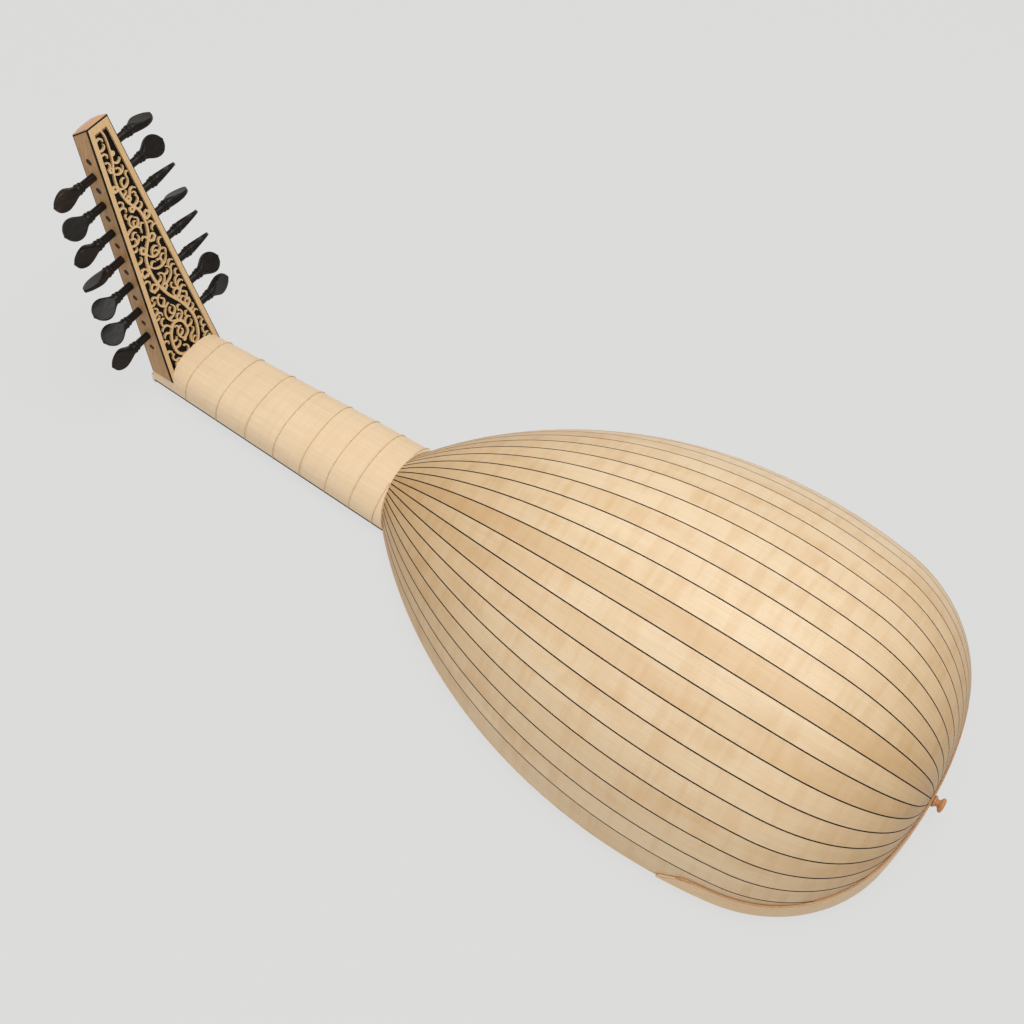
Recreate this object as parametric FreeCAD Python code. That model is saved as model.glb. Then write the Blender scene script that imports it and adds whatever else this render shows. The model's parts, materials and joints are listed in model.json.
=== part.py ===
import FreeCAD, Part
import math
import os
from FreeCAD import Vector

# An eight-course Renaissance lute, lying face down on its bridge.
#
# Body frame, in which every piece is modelled: the tail is at y = 0 and the neck runs
# towards +Y, x = 0 is the centre line with the bass side at +X, and z = 0 is the glued
# (inner) face of the soundboard, with the bowl rising towards +Z.
# Row frame, in which every piece is exported: the origin is the centre of the bridge's
# top face, the face on which the lute rests.

os.makedirs("parts", exist_ok=True)

# ---- driving dimensions, mm and degrees -------------------------------------------

# body outline: three tangent arcs on each side of the tail, called tail, hip and flank
body_length = 443.0          # tail to neck joint, at the soundboard
body_half_width = 159.0
widest_y = 162.0             # where the body is widest, from the tail
tail_radius = 315.0
hip_radius = 109.0

# bowl: its depth over its half width, halfway along the body, and the change per body length
depth_ratio = 0.878
depth_ratio_change = 0.154

# ribs
rib_count = 25
edge_rib_angle = 9.2         # the rib beside the soundboard is wider than the others
rib_thickness = 1.6
spacer_width = 0.7           # black line between two ribs
rib_start_radius = 9.0       # the ribs run out this far from the tail centre
rib_stations = 26

# capping strip over the rib ends, and the liner behind them
strip_thickness = 1.1
strip_glue_gap = 0.3
strip_stations = 45
strip_height_flank = 13.0
strip_height_tail = 24.0
strip_half_span = 134.0      # distance from the tail at which the strip ends, along y
strip_ogee_length = 20.0
liner_thickness = 2.5
liner_height = 16.0
liner_half_span = 60.0
liner_stations = 20
liner_gap = 0.4

# soundboard
soundboard_thickness = 1.8
bar_thickness = 4.5
bar_height = 13.0
bar_places = (0.075, 0.27, 0.38, 0.485, 0.61, 0.735, 0.84)
bar_end_gap = 0.6
rose_place = 0.61            # share of the body length
rose_hole_radius = 2.3
rose_rings = 6
rose_ring_pitch = 7.2

# bridge
bridge_length = 164.0
bridge_width = 14.0
bridge_height = 8.0
bridge_front_lip = 3.0
bridge_step = 2.2
string_height_bridge = 5.2   # above the soundboard
bridge_hole_clearance = 0.15

# strings
string_length = 600.0        # nut to bridge
course_diameters = (0.44, 0.52, 0.64, 0.80, 0.92, 1.05, 1.15, 1.25)
octave_from_course = 6       # from this course on, the second string is a thin octave
octave_ratio = 0.6
course_span_bridge = 116.0
course_span_nut = 46.0
pair_gap_bridge = 5.0
pair_gap_nut = 3.4
string_tail = 8.0            # end left inside the bridge, behind its front face
string_bend_radius = 2.0
string_nut_gap = 0.05
winding_gap = 0.3

# neck
neck_joint_to_nut = 232.7
neck_joint_lean = 0.40       # the joint face moves this far along y per mm of height
neck_half_width_joint = 40.3
neck_half_width_nut = 29.0
neck_depth_nut = 23.5
neck_roundness_joint = 1.95  # exponent of the section: 2 is an ellipse, more is squarer
neck_roundness_nut = 2.8
neck_stations = 7
fingerboard_thickness = 1.8
nut_thickness = 3.6
nut_height = 4.2             # above the fingerboard
nut_drop = 3.0               # below the fingerboard, over the end of the neck
nut_edge_gap = 1.0
fret_count = 8
fret_diameter = 0.8
fret_gap = 0.02
block_length = 42.0
block_gap = 0.7
block_stations = 7

# pegbox, bent back from the neck
pegbox_angle = 73.5          # between the back of the pegbox and the neck
pegbox_back_from_nut = 20.8  # the pegbox's back meets the ledge this far before the nut
ledge_height = 10.0          # top of the ledge that the cheeks stand on
pegbox_length = 224.0
pegbox_stand_out = 0.4       # the pegbox's base is this much wider than the nut end, each side
pegbox_half_width_top = 10.1
pegbox_depth_base = 20.0
pegbox_depth_top = 18.1
pegbox_top_slope = 8.0       # the top end falls by this much from back to front
cheek_thickness = 4.5
back_thickness = 1.8
backing_thickness = 0.6
edge_line = 0.6
end_cap_thickness = 1.4
end_block_length = 8.0
panel_border = 4.6
rosette_count = 9
rosette_start = 31.0         # along the pegbox's back, from the ledge
rosette_end_from_top = 18.0
rosette_web = 1.1

# pegs
peg_count = 15
peg_first = 32.2             # along the pegbox's back, from the ledge
peg_last_from_top = 29.1     # along the pegbox's back, from its top end
peg_height_base = 11.3       # from the pegbox's back
peg_height_top = 10.2
peg_radius_head_side = 3.0   # where the shank enters the cheek on the head's side
peg_taper = 0.0135           # loss of radius per mm
peg_fit_clearance = 0.05
peg_end_recess = 0.6
peg_shank_out = 12.0
peg_collar_radius = 4.0
peg_collar_length = 2.2
peg_neck_radius = 3.0
peg_head_radius = 9.0
peg_head_thickness = 6.0
peg_head_centre = 29.0       # from the cheek
peg_pip_radius = 1.6
peg_tip = 40.5
# turn of each head about its peg, nearest the nut first; at 0 its flat sides face along the pegbox
bass_head_turns = (96.0, 62.0, 142.0, 144.0, 163.0, 144.0, 58.0, 176.0)
treble_head_turns = (99.0, 44.0, 40.0, 162.0, 104.0, 58.0, 102.0)

# strap button
button_height = 11.0         # above the soundboard's inner face
button_offset = -6.5         # from the centre line, towards the treble side
button_waist_radius = 2.6
button_head_radius = 5.2
button_base_radius = 4.4
button_length = 9.0
button_tenon_radius = 2.4
button_tenon_clearance = 0.05
button_tenon_length = 6.0

# ---- derived values ---------------------------------------------------------------

nut_y = body_length + neck_joint_to_nut
bridge_front_y = nut_y - string_length
board_front_z = -soundboard_thickness
bridge_top_z = board_front_z - bridge_height
row_shift = Vector(0, -(bridge_front_y - bridge_width / 2), -bridge_top_z)
pegbox_tilt = math.radians(pegbox_angle)
along_pegbox = Vector(0, math.cos(pegbox_tilt), math.sin(pegbox_tilt))
out_of_pegbox = Vector(0, math.sin(pegbox_tilt), -math.cos(pegbox_tilt))
pegbox_origin = Vector(0, nut_y - pegbox_back_from_nut, ledge_height)

pegbox_half_width_base = neck_half_width_nut + pegbox_stand_out
peg_pitch = (pegbox_length - peg_first - peg_last_from_top) / (peg_count - 1)

# centres of the outline arcs, as (half width, y); the flank arc is widest at widest_y and
# passes the neck joint, and the hip arc touches both it and the tail arc from inside
narrowing = body_half_width - neck_half_width_joint
flank_radius = (narrowing ** 2 + (body_length - widest_y) ** 2) / (2 * narrowing)
flank_centre = (body_half_width - flank_radius, widest_y)
tail_centre = (0.0, tail_radius)


def hip_centre_at(turn):
    reach = tail_radius - hip_radius
    return reach * math.sin(turn), tail_radius - reach * math.cos(turn)


def tail_arc_turn():
    """Angle at which the tail arc gives way to the hip arc, so that the hip meets the flank."""
    low, high = 0.0, math.pi / 2
    for _ in range(60):
        middle = (low + high) / 2
        centre = hip_centre_at(middle)
        gap = math.hypot(centre[0] - flank_centre[0], centre[1] - flank_centre[1])
        if gap < flank_radius - hip_radius:
            low = middle
        else:
            high = middle
    return low


# heading at which the narrowing flank arc, carried on past the neck joint, is this slim
steepest_heading = math.pi - math.asin((rib_start_radius - flank_centre[0]) / flank_radius)
tail_turn = tail_arc_turn()
hip_centre = hip_centre_at(tail_turn)
flank_turn = math.atan2(hip_centre[0] - flank_centre[0], flank_centre[1] - hip_centre[1])


def export(node, shape):
    """Write one node, moved from the body frame to the row frame."""
    moved = shape.copy()
    moved.translate(row_shift)
    moved.exportStep("parts/" + node + ".step")


# ---- body outline -----------------------------------------------------------------

def outline_arc(heading):
    """Centre and radius of the outline arc that holds this heading."""
    if heading <= tail_turn:
        return tail_centre, tail_radius
    if heading <= flank_turn:
        return hip_centre, hip_radius
    return flank_centre, flank_radius


def outline_point(heading):
    """Half width and y where the outline has this heading; 0 is straight across the tail."""
    centre, radius = outline_arc(heading)
    return centre[0] + radius * math.sin(heading), centre[1] - radius * math.cos(heading)


def heading_at_y(y):
    """Heading of the outline at this distance from the tail."""
    low, high = 0.0, steepest_heading
    for _ in range(50):
        middle = (low + high) / 2
        if outline_point(middle)[1] < y:
            low = middle
        else:
            high = middle
    return low


def half_width(y):
    """Half width of the body at this distance from the tail."""
    return outline_point(heading_at_y(y))[0]


def depth_ratio_at(y):
    return depth_ratio + depth_ratio_change * (y / body_length - 0.5)


def bowl_height(x, y):
    """Height of the bowl's smooth surface over a point of the soundboard, 0 outside it."""
    if y <= 0:
        return 0.0
    inside = half_width(y) ** 2 - x ** 2
    return depth_ratio_at(y) * math.sqrt(inside) if inside > 0 else 0.0


def outline_edges(offset=0.0):
    """The outline's arcs, from the treble side of the neck joint round the tail to the bass side."""
    end_heading = heading_at_y(body_length)
    stops = (0.0, tail_turn, flank_turn, end_heading)
    edges = []
    for first, last in zip(stops, stops[1:]):
        middle = (first + last) / 2
        centre, radius = outline_arc(middle)
        points = []
        for heading in (first, middle, last):
            points.append(Vector(
                centre[0] + (radius + offset) * math.sin(heading),
                centre[1] - (radius + offset) * math.cos(heading),
                0,
            ))
        for side in (-1, 1):
            mirrored = [Vector(side * p.x, p.y, p.z) for p in points]
            edges.append(Part.Arc(*mirrored).toShape())
    return edges


# ---- bowl -------------------------------------------------------------------------

inner_rib_angle = (180.0 - 2 * edge_rib_angle) / (rib_count - 2)


def rib_boundary_angle(index):
    """Angle of rib boundary 0 to rib_count about the body's centre line; 0 is the crown."""
    if index == 0:
        return -90.0
    if index == rib_count:
        return 90.0
    return -90.0 + edge_rib_angle + (index - 1) * inner_rib_angle


def bowl_point(heading, angle, depth):
    """Point of the bowl at this depth below its outer surface."""
    width, y = outline_point(heading)
    ratio = depth_ratio_at(y)
    width -= depth * math.sin(heading)
    y += depth * math.cos(heading)
    turn = math.radians(angle)
    return Vector(width * math.sin(turn), y, ratio * width * math.cos(turn))


def across_rib(heading, rib, depth):
    """Unit vector across rib number rib, from its treble edge to its bass edge."""
    first = bowl_point(heading, rib_boundary_angle(rib - 1), depth)
    last = bowl_point(heading, rib_boundary_angle(rib), depth)
    return (last - first).normalize()


def seam_point(heading, boundary, rib, depth):
    """Point on a rib's edge, set back from the boundary by half a spacer."""
    point = bowl_point(heading, rib_boundary_angle(boundary), depth)
    if boundary in (0, rib_count):
        return point
    side = -1 if rib == boundary else 1
    return point + across_rib(heading, rib, depth) * (side * spacer_width / 2)


def beyond_joint(point):
    return point.y - (body_length + neck_joint_lean * point.z)


def seam_curve(boundary, rib, depth):
    """Edge of a rib from the tail to the neck joint, as a smooth curve."""
    low, high = 0.0, steepest_heading
    for _ in range(50):
        middle = (low + high) / 2
        if beyond_joint(seam_point(middle, boundary, rib, depth)) < 0:
            low = middle
        else:
            high = middle
    start = math.asin(rib_start_radius / tail_radius)
    points = []
    marks = []
    for station in range(rib_stations):
        share = station / (rib_stations - 1)
        points.append(seam_point(start + (low - start) * share, boundary, rib, depth))
        marks.append(share)
    curve = Part.BSplineCurve()
    curve.interpolate(Points=points, Parameters=marks)
    return curve.toShape()


def strip_between(outer_a, outer_b, inner_a, inner_b):
    """Closed solid between four long edges that run side by side."""
    faces = []
    loop = (outer_a, outer_b, inner_b, inner_a)
    for one, other in zip(loop, loop[1:] + loop[:1]):
        faces.append(Part.makeRuledSurface(one, other))
    for end in (0, -1):
        corners = [edge.Vertexes[end].Point for edge in loop]
        faces.append(Part.Face(Part.makePolygon(corners + corners[:1])))
    shell = Part.makeShell(faces)
    shell.sewShape()
    solid = Part.makeSolid(Part.Shell(shell.Faces))
    if solid.Volume < 0:
        solid.reverse()
    return solid


seams = {}


def seam(boundary, rib, depth):
    """Seam curve, made once and shared by the rib and the spacer beside it."""
    key = (boundary, rib, depth)
    if key not in seams:
        seams[key] = seam_curve(boundary, rib, depth)
    return seams[key]


def button_bore():
    """Bore through the tail for the strap button's tenon."""
    radius = button_tenon_radius + button_tenon_clearance
    return Part.makeCylinder(radius, 60, Vector(button_offset, -30, button_height), Vector(0, 1, 0))


def make_ribs():
    bore = button_bore()
    for rib in range(1, rib_count + 1):
        solid = strip_between(
            seam(rib - 1, rib, 0.0),
            seam(rib, rib, 0.0),
            seam(rib - 1, rib, rib_thickness),
            seam(rib, rib, rib_thickness),
        )
        # the bore cuts off the very tips of the ribs beside it, which are left out
        bored = solid.cut(bore)
        export("rib_%02d" % rib, max(bored.Solids, key=lambda piece: piece.Volume))


def make_rib_spacers():
    spacers = []
    for boundary in range(1, rib_count):
        spacers.append(strip_between(
            seam(boundary, boundary, 0.0),
            seam(boundary, boundary + 1, 0.0),
            seam(boundary, boundary, rib_thickness),
            seam(boundary, boundary + 1, rib_thickness),
        ))
    export("rib_spacers", Part.makeCompound(spacers).cut(button_bore()))


# ---- capping strip and liner round the tail ----------------------------------------

def inset_at_height(base, inward, height):
    """How far in from the outline the bowl has risen to this height."""
    low, high = 0.0, 40.0
    for _ in range(40):
        middle = (low + high) / 2
        point = base + inward * middle
        if bowl_height(point.x, point.y) < height:
            low = middle
        else:
            high = middle
    return low


def tail_strip(stations, height_at, near, far, bottom):
    """Strip that follows the bowl round the tail, from depth near to depth far."""
    sections = []
    for heading, side in stations:
        width, y = outline_point(heading)
        base = Vector(side * width, y, 0)
        inward = Vector(-side * math.sin(heading), math.cos(heading), 0)
        height = height_at(y)
        levels = (bottom, 0.0, height / 4, height / 2, height * 3 / 4, height)
        profile = []
        for depth, order in ((near, levels), (far, levels[::-1])):
            for level in order:
                inset = inset_at_height(base, inward, level) if level > 0 else 0.0
                profile.append(base + inward * (inset + depth) + Vector(0, 0, level))
        sections.append(Part.makePolygon(profile + profile[:1]))
    return Part.makeLoft(sections, True, True)


def tail_stations(span, count):
    """Headings and sides of the stations from the treble end, round the tail, to the bass end."""
    last = heading_at_y(span)
    stations = [(last * (1 - step / count), -1) for step in range(count)]
    stations += [(last * step / count, 1) for step in range(count + 1)]
    return stations


def strip_height(y):
    """Height of the capping strip: tallest at the tail, ending in an ogee on each flank."""
    rise = min(1.0, y / (strip_half_span / 2))
    height = strip_height_tail + (strip_height_flank - strip_height_tail) * math.sin(rise * math.pi / 2)
    to_end = (strip_half_span - y) / strip_ogee_length
    if to_end >= 1:
        return height
    low = 1.0
    return low + (height - low) * (1 - math.cos(math.pi * max(to_end, 0.0))) / 2


def make_capping_strip():
    stations = tail_stations(strip_half_span, strip_stations)
    outer = -strip_glue_gap - strip_thickness
    strip = tail_strip(stations, strip_height, outer, -strip_glue_gap, board_front_z)
    export("capping_strip", strip.cut(button_bore()))


def make_tail_liner():
    stations = tail_stations(liner_half_span, liner_stations)
    near = rib_thickness + liner_gap
    liner = tail_strip(stations, lambda y: liner_height, near, near + liner_thickness, 0.0)
    export("tail_liner", liner.cut(button_bore()))


# ---- soundboard, bars and rose -----------------------------------------------------

def make_soundboard():
    arcs = outline_edges()
    end = neck_half_width_joint
    arcs.append(Part.makeLine(Vector(-end, body_length, 0), Vector(end, body_length, 0)))
    wire = Part.Wire(Part.__sortEdges__(arcs))
    board = Part.Face(wire).extrude(Vector(0, 0, board_front_z))
    centre_y = rose_place * body_length
    holes = [Part.makeCylinder(rose_hole_radius, 10, Vector(0, centre_y, -5))]
    for ring in range(1, rose_rings + 1):
        for step in range(6 * ring):
            turn = 2 * math.pi * step / (6 * ring)
            reach = ring * rose_ring_pitch
            place = Vector(reach * math.cos(turn), centre_y + reach * math.sin(turn), -5)
            holes.append(Part.makeCylinder(rose_hole_radius, 10, place))
    export("soundboard", board.cut(Part.makeCompound(holes)))


def make_soundboard_bars():
    bars = []
    for place in bar_places:
        y = place * body_length
        reach = []
        for edge_y in (y - bar_thickness / 2, y + bar_thickness / 2):
            width = half_width(edge_y) - rib_thickness
            reach.append(math.sqrt(width ** 2 - (bar_height / depth_ratio_at(edge_y)) ** 2))
        length = min(reach) - bar_end_gap - rib_thickness / 2
        if place == min(bar_places):
            length = min(length, half_width(y) * 0.8)
        bars.append(Part.makeBox(
            2 * length, bar_thickness, bar_height, Vector(-length, y - bar_thickness / 2, 0)
        ))
    export("soundboard_bars", Part.makeCompound(bars))


# ---- neck --------------------------------------------------------------------------

def crown_at_joint():
    """y and z where the bowl's crown meets the leaning joint face."""
    low, high = body_length - 20.0, body_length + 30.0
    for _ in range(50):
        y = (low + high) / 2
        if y < body_length + neck_joint_lean * bowl_height(0, y):
            low = y
        else:
            high = y
    return low, bowl_height(0, low)


crown_y, crown_z = crown_at_joint()


def neck_share(y):
    return (y - body_length) / neck_joint_to_nut


def neck_half_width(y):
    return neck_half_width_joint + (neck_half_width_nut - neck_half_width_joint) * neck_share(y)


def neck_depth(y):
    share = (y - crown_y) / (nut_y - crown_y)
    return crown_z + (neck_depth_nut - crown_z) * share


def neck_section(y, grow=0.0, front=0.0):
    """Closed section across the neck: a rounded back over a flat front at z = front."""
    width = neck_half_width(y) + grow
    depth = neck_depth(y) + grow
    power = 2.0 / (neck_roundness_joint + (neck_roundness_nut - neck_roundness_joint) * neck_share(y))
    points = []
    marks = []
    steps = 24
    for step in range(steps + 1):
        turn = math.pi * step / steps
        x = width * math.copysign(abs(math.cos(turn)) ** power, math.cos(turn))
        if step in (0, steps):
            x = math.copysign(width, x)
        points.append(Vector(x, y, depth * math.sin(turn) ** power))
        marks.append(step / steps)
    points[0].z = 0
    points[-1].z = 0
    curve = Part.BSplineCurve()
    curve.interpolate(Points=points, Parameters=marks)
    edges = [curve.toShape()]
    corners = [points[-1], points[0]]
    if front < 0:
        corners = [points[-1], Vector(-width, y, front), Vector(width, y, front), points[0]]
    for one, other in zip(corners, corners[1:]):
        edges.append(Part.makeLine(one, other))
    return Part.Wire(edges)


def side_prism(points, reach=120.0):
    """Prism across the whole lute, from (y, z) corners."""
    corners = [Vector(-reach, y, z) for y, z in points]
    return Part.Face(Part.makePolygon(corners + corners[:1])).extrude(Vector(2 * reach, 0, 0))


def tail_side_of_joint():
    return side_prism((
        (body_length - 200, -60),
        (body_length - 60 * neck_joint_lean, -60),
        (body_length + 200 * neck_joint_lean, 200),
        (body_length - 200, 200),
    ))


def make_neck():
    first = body_length - 30.0
    sections = []
    for step in range(neck_stations):
        sections.append(neck_section(first + (nut_y - first) * step / (neck_stations - 1)))
    blank = Part.makeLoft(sections, True, False)
    top = pegbox_origin + along_pegbox * 80
    pegbox_room = side_prism((
        (pegbox_origin.y, ledge_height),
        (nut_y + 60, ledge_height),
        (nut_y + 60, 120),
        (top.y, top.z),
    ))
    export("neck", blank.cut(tail_side_of_joint()).cut(pegbox_room))


def make_neck_block():
    """Block inside the bowl, to which the neck is glued."""
    first = crown_y - block_length
    sections = []
    for step in range(block_stations):
        y = first + (crown_y + 6.0 - first) * step / (block_stations - 1)
        width = half_width(y) - (rib_thickness + block_gap) / math.sin(heading_at_y(y))
        depth = depth_ratio_at(y) * width
        centre = Vector(0, y, 0)
        longer, shorter = max(width, depth), min(width, depth)
        ellipse = Part.Ellipse(centre + Vector(longer, 0, 0), centre + Vector(0, 0, shorter), centre)
        arc = Part.Arc(ellipse, 0.0, math.pi).toShape()
        ends = [v.Point for v in arc.Vertexes]
        sections.append(Part.Wire([arc, Part.makeLine(ends[1], ends[0])]))
    blank = Part.makeLoft(sections, True, False)
    neck_side = side_prism((
        (body_length - 60 * neck_joint_lean, -60),
        (body_length + 200 * neck_joint_lean, 200),
        (body_length + 300, 200),
        (body_length + 300, -60),
    ))
    export("neck_block", blank.cut(neck_side))


def make_fingerboard():
    corners = [
        Vector(-neck_half_width_joint, body_length, 0),
        Vector(neck_half_width_joint, body_length, 0),
        Vector(neck_half_width_nut, nut_y, 0),
        Vector(-neck_half_width_nut, nut_y, 0),
    ]
    face = Part.Face(Part.makePolygon(corners + corners[:1]))
    export("fingerboard", face.extrude(Vector(0, 0, -fingerboard_thickness)))


def make_nut():
    """Bone nut on the end of the fingerboard, its back edge rounded off for the strings."""
    width = neck_half_width_nut - nut_edge_gap
    top = -fingerboard_thickness - nut_height
    blank = Part.makeBox(2 * width, nut_thickness, nut_drop - top, Vector(-width, nut_y, top))
    back_edges = [
        edge for edge in blank.Edges
        if abs(edge.CenterOfMass.z - top) < 1e-6 and edge.CenterOfMass.y > nut_y + nut_thickness / 2
        and edge.Length > width
    ]
    export("nut", blank.makeFillet(nut_thickness * 0.45, back_edges))


def fret_y(number):
    return nut_y - string_length * (1 - 2 ** (-number / 12.0))


def make_frets():
    """Gut frets tied round the neck and fingerboard."""
    rings = []
    for number in range(1, fret_count + 1):
        y = min(fret_y(number), nut_y)
        near = y - fret_diameter / 2
        far = y + fret_diameter / 2
        outer = Part.makeLoft([
            neck_section(near, fret_gap + fret_diameter, -fingerboard_thickness - fret_gap - fret_diameter),
            neck_section(far, fret_gap + fret_diameter, -fingerboard_thickness - fret_gap - fret_diameter),
        ], True, True)
        inner = Part.makeLoft([
            neck_section(near - 0.5, fret_gap, -fingerboard_thickness - fret_gap),
            neck_section(far + 0.5, fret_gap, -fingerboard_thickness - fret_gap),
        ], True, True)
        ring = outer.cut(inner)
        rings.append(ring.cut(tail_side_of_joint()) if near < crown_y + 2 else ring)
    export("frets", Part.makeCompound(rings))


# ---- pegbox ------------------------------------------------------------------------

def in_pegbox(x, along, out):
    """Body-frame point from pegbox places: across, along its back, out from its back."""
    return pegbox_origin + along_pegbox * along + out_of_pegbox * out + Vector(x, 0, 0)


def pegbox_half_width(along):
    share = along / pegbox_length
    return pegbox_half_width_base + (pegbox_half_width_top - pegbox_half_width_base) * share


def ledge_along(out):
    """Where the ledge lies along the pegbox, at this distance out from its back."""
    return out / math.tan(pegbox_tilt)


def top_along(out, below=0.0):
    """Where the sloping top end lies, less a length below it."""
    return pegbox_length - below - pegbox_top_slope * out / pegbox_depth_top


def taper_board(corners, inner_inset, outer_inset, side=1):
    """Board between two planes that taper with the pegbox, from (along, out) corners.

    An inset is a distance in from the pegbox's outer side; None is the mirrored side.
    """
    def x_at(along, inset):
        if inset is None:
            return -side * (pegbox_half_width(along) - outer_inset)
        return side * (pegbox_half_width(along) - inset)

    inner = [in_pegbox(x_at(a, inner_inset), a, o) for a, o in corners]
    outer = [in_pegbox(x_at(a, outer_inset), a, o) for a, o in corners]
    faces = [Part.Face(Part.makePolygon(ring + ring[:1])) for ring in (inner, outer)]
    count = len(corners)
    for index in range(count):
        following = (index + 1) % count
        ring = [inner[index], inner[following], outer[following], outer[index]]
        faces.append(Part.Face(Part.makePolygon(ring + ring[:1])))
    solid = Part.makeSolid(Part.makeShell(faces))
    if solid.Volume < 0:
        solid.reverse()
    return solid


def cheek_corners(near, far_inset, top_below):
    """(along, out) corners of a cheek from depth near to the front edge less far_inset."""
    base_out = pegbox_depth_base - far_inset
    top_out = pegbox_depth_top - far_inset
    return [
        (ledge_along(near), near),
        (ledge_along(base_out), base_out),
        (top_along(top_out, top_below), top_out),
        (top_along(near, top_below), near),
    ]


def peg_along(index):
    return peg_first + index * peg_pitch


def peg_out(index):
    share = peg_along(index) / pegbox_length
    return peg_height_base + (peg_height_top - peg_height_base) * share


def peg_radius(index, side, x):
    """Radius of a peg's tapered shank at x, for a head on this side."""
    head_face = pegbox_half_width(peg_along(index))
    return peg_radius_head_side - peg_taper * (head_face - side * x)


def peg_side(index):
    """Pegs alternate along the pegbox, starting with a bass one beside the nut."""
    return 1 if index % 2 == 0 else -1


def peg_bore(index):
    """Tapered bore through both cheeks, with the peg's running clearance."""
    side = peg_side(index)
    reach = pegbox_half_width(peg_along(index)) + 3
    start = in_pegbox(-side * reach, peg_along(index), peg_out(index))
    narrow = peg_radius(index, side, -side * reach) + peg_fit_clearance
    wide = peg_radius(index, side, side * reach) + peg_fit_clearance
    return Part.makeCone(narrow, wide, 2 * reach, start, Vector(side, 0, 0))


def make_cheeks():
    bores = Part.makeCompound([peg_bore(index) for index in range(peg_count)])
    corners = cheek_corners(back_thickness, edge_line, end_cap_thickness + edge_line)
    for name, side in (("pegbox_cheek_treble", -1), ("pegbox_cheek_bass", 1)):
        board = taper_board(corners, cheek_thickness, 0.0, side)
        export(name, board.cut(bores))


def panel_corners(near, far, top_below, foot=0.0):
    return [
        (ledge_along(near) + foot, near),
        (ledge_along(far) + foot, far),
        (top_along(far, top_below), far),
        (top_along(near, top_below), near),
    ]


def rosette_holes(along, radius):
    """Ring of round holes about a central one, all inside this radius."""
    hole = (radius - rosette_web) / 3
    ring = radius - hole
    places = [(0.0, along, hole * 0.8)]
    for step in range(6):
        turn = math.pi * step / 3
        places.append((ring * math.sin(turn), along + ring * math.cos(turn), hole * 0.9))
    return [
        Part.makeCylinder(size, 4 * back_thickness, in_pegbox(x, a, -2 * back_thickness), out_of_pegbox)
        for x, a, size in places
    ]


def make_pegbox_back():
    """Pierced back panel, with a backing sheet of black veneer behind the piercings."""
    corners = panel_corners(0.0, back_thickness, end_cap_thickness + edge_line)
    panel = taper_board(corners, None, edge_line)
    holes = []
    for index in range(rosette_count):
        share = index / (rosette_count - 1)
        span = pegbox_length - rosette_end_from_top - rosette_start
        along = rosette_start + span * (1 - (1 - share) ** 1.45)
        holes += rosette_holes(along, min(pegbox_half_width(along) - panel_border, 15.0) * 0.62)
    export("pegbox_back", panel.cut(Part.makeCompound(holes)))
    near = back_thickness
    corners = panel_corners(near, near + backing_thickness, end_cap_thickness + edge_line + end_block_length)
    export("pegbox_backing", taper_board(corners, None, cheek_thickness))


def make_pegbox_end():
    """End block between the cheeks, and the cap over the top of the pegbox."""
    near = back_thickness
    front = pegbox_depth_top - edge_line
    top = end_cap_thickness + edge_line
    block = taper_board([
        (top_along(near, top + end_block_length), near),
        (top_along(front, top + end_block_length), front),
        (top_along(front, top), front),
        (top_along(near, top), near),
    ], None, cheek_thickness)
    export("pegbox_end_block", block)
    cap = taper_board([
        (top_along(0, end_cap_thickness), 0),
        (top_along(pegbox_depth_top, end_cap_thickness), pegbox_depth_top),
        (top_along(pegbox_depth_top), pegbox_depth_top),
        (top_along(0), 0),
    ], None, 0.0)
    export("pegbox_end_cap", cap)


def make_pegbox_edge_lines():
    """Black lines: the two back corners, the cheeks' front edges, and under the end cap."""
    lines = []
    under_cap = end_cap_thickness + edge_line
    for side in (-1, 1):
        lines.append(taper_board(panel_corners(0.0, back_thickness, under_cap), edge_line, 0.0, side))
        base = pegbox_depth_base
        top = pegbox_depth_top
        lines.append(taper_board([
            (ledge_along(base - edge_line), base - edge_line),
            (ledge_along(base), base),
            (top_along(top, under_cap), top),
            (top_along(top - edge_line, under_cap), top - edge_line),
        ], cheek_thickness, 0.0, side))
    lines.append(taper_board([
        (top_along(0, under_cap), 0),
        (top_along(pegbox_depth_top, under_cap), pegbox_depth_top),
        (top_along(pegbox_depth_top, end_cap_thickness), pegbox_depth_top),
        (top_along(0, end_cap_thickness), 0),
    ], None, 0.0))
    export("pegbox_edge_lines", Part.makeCompound(lines))


# ---- pegs --------------------------------------------------------------------------

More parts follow.
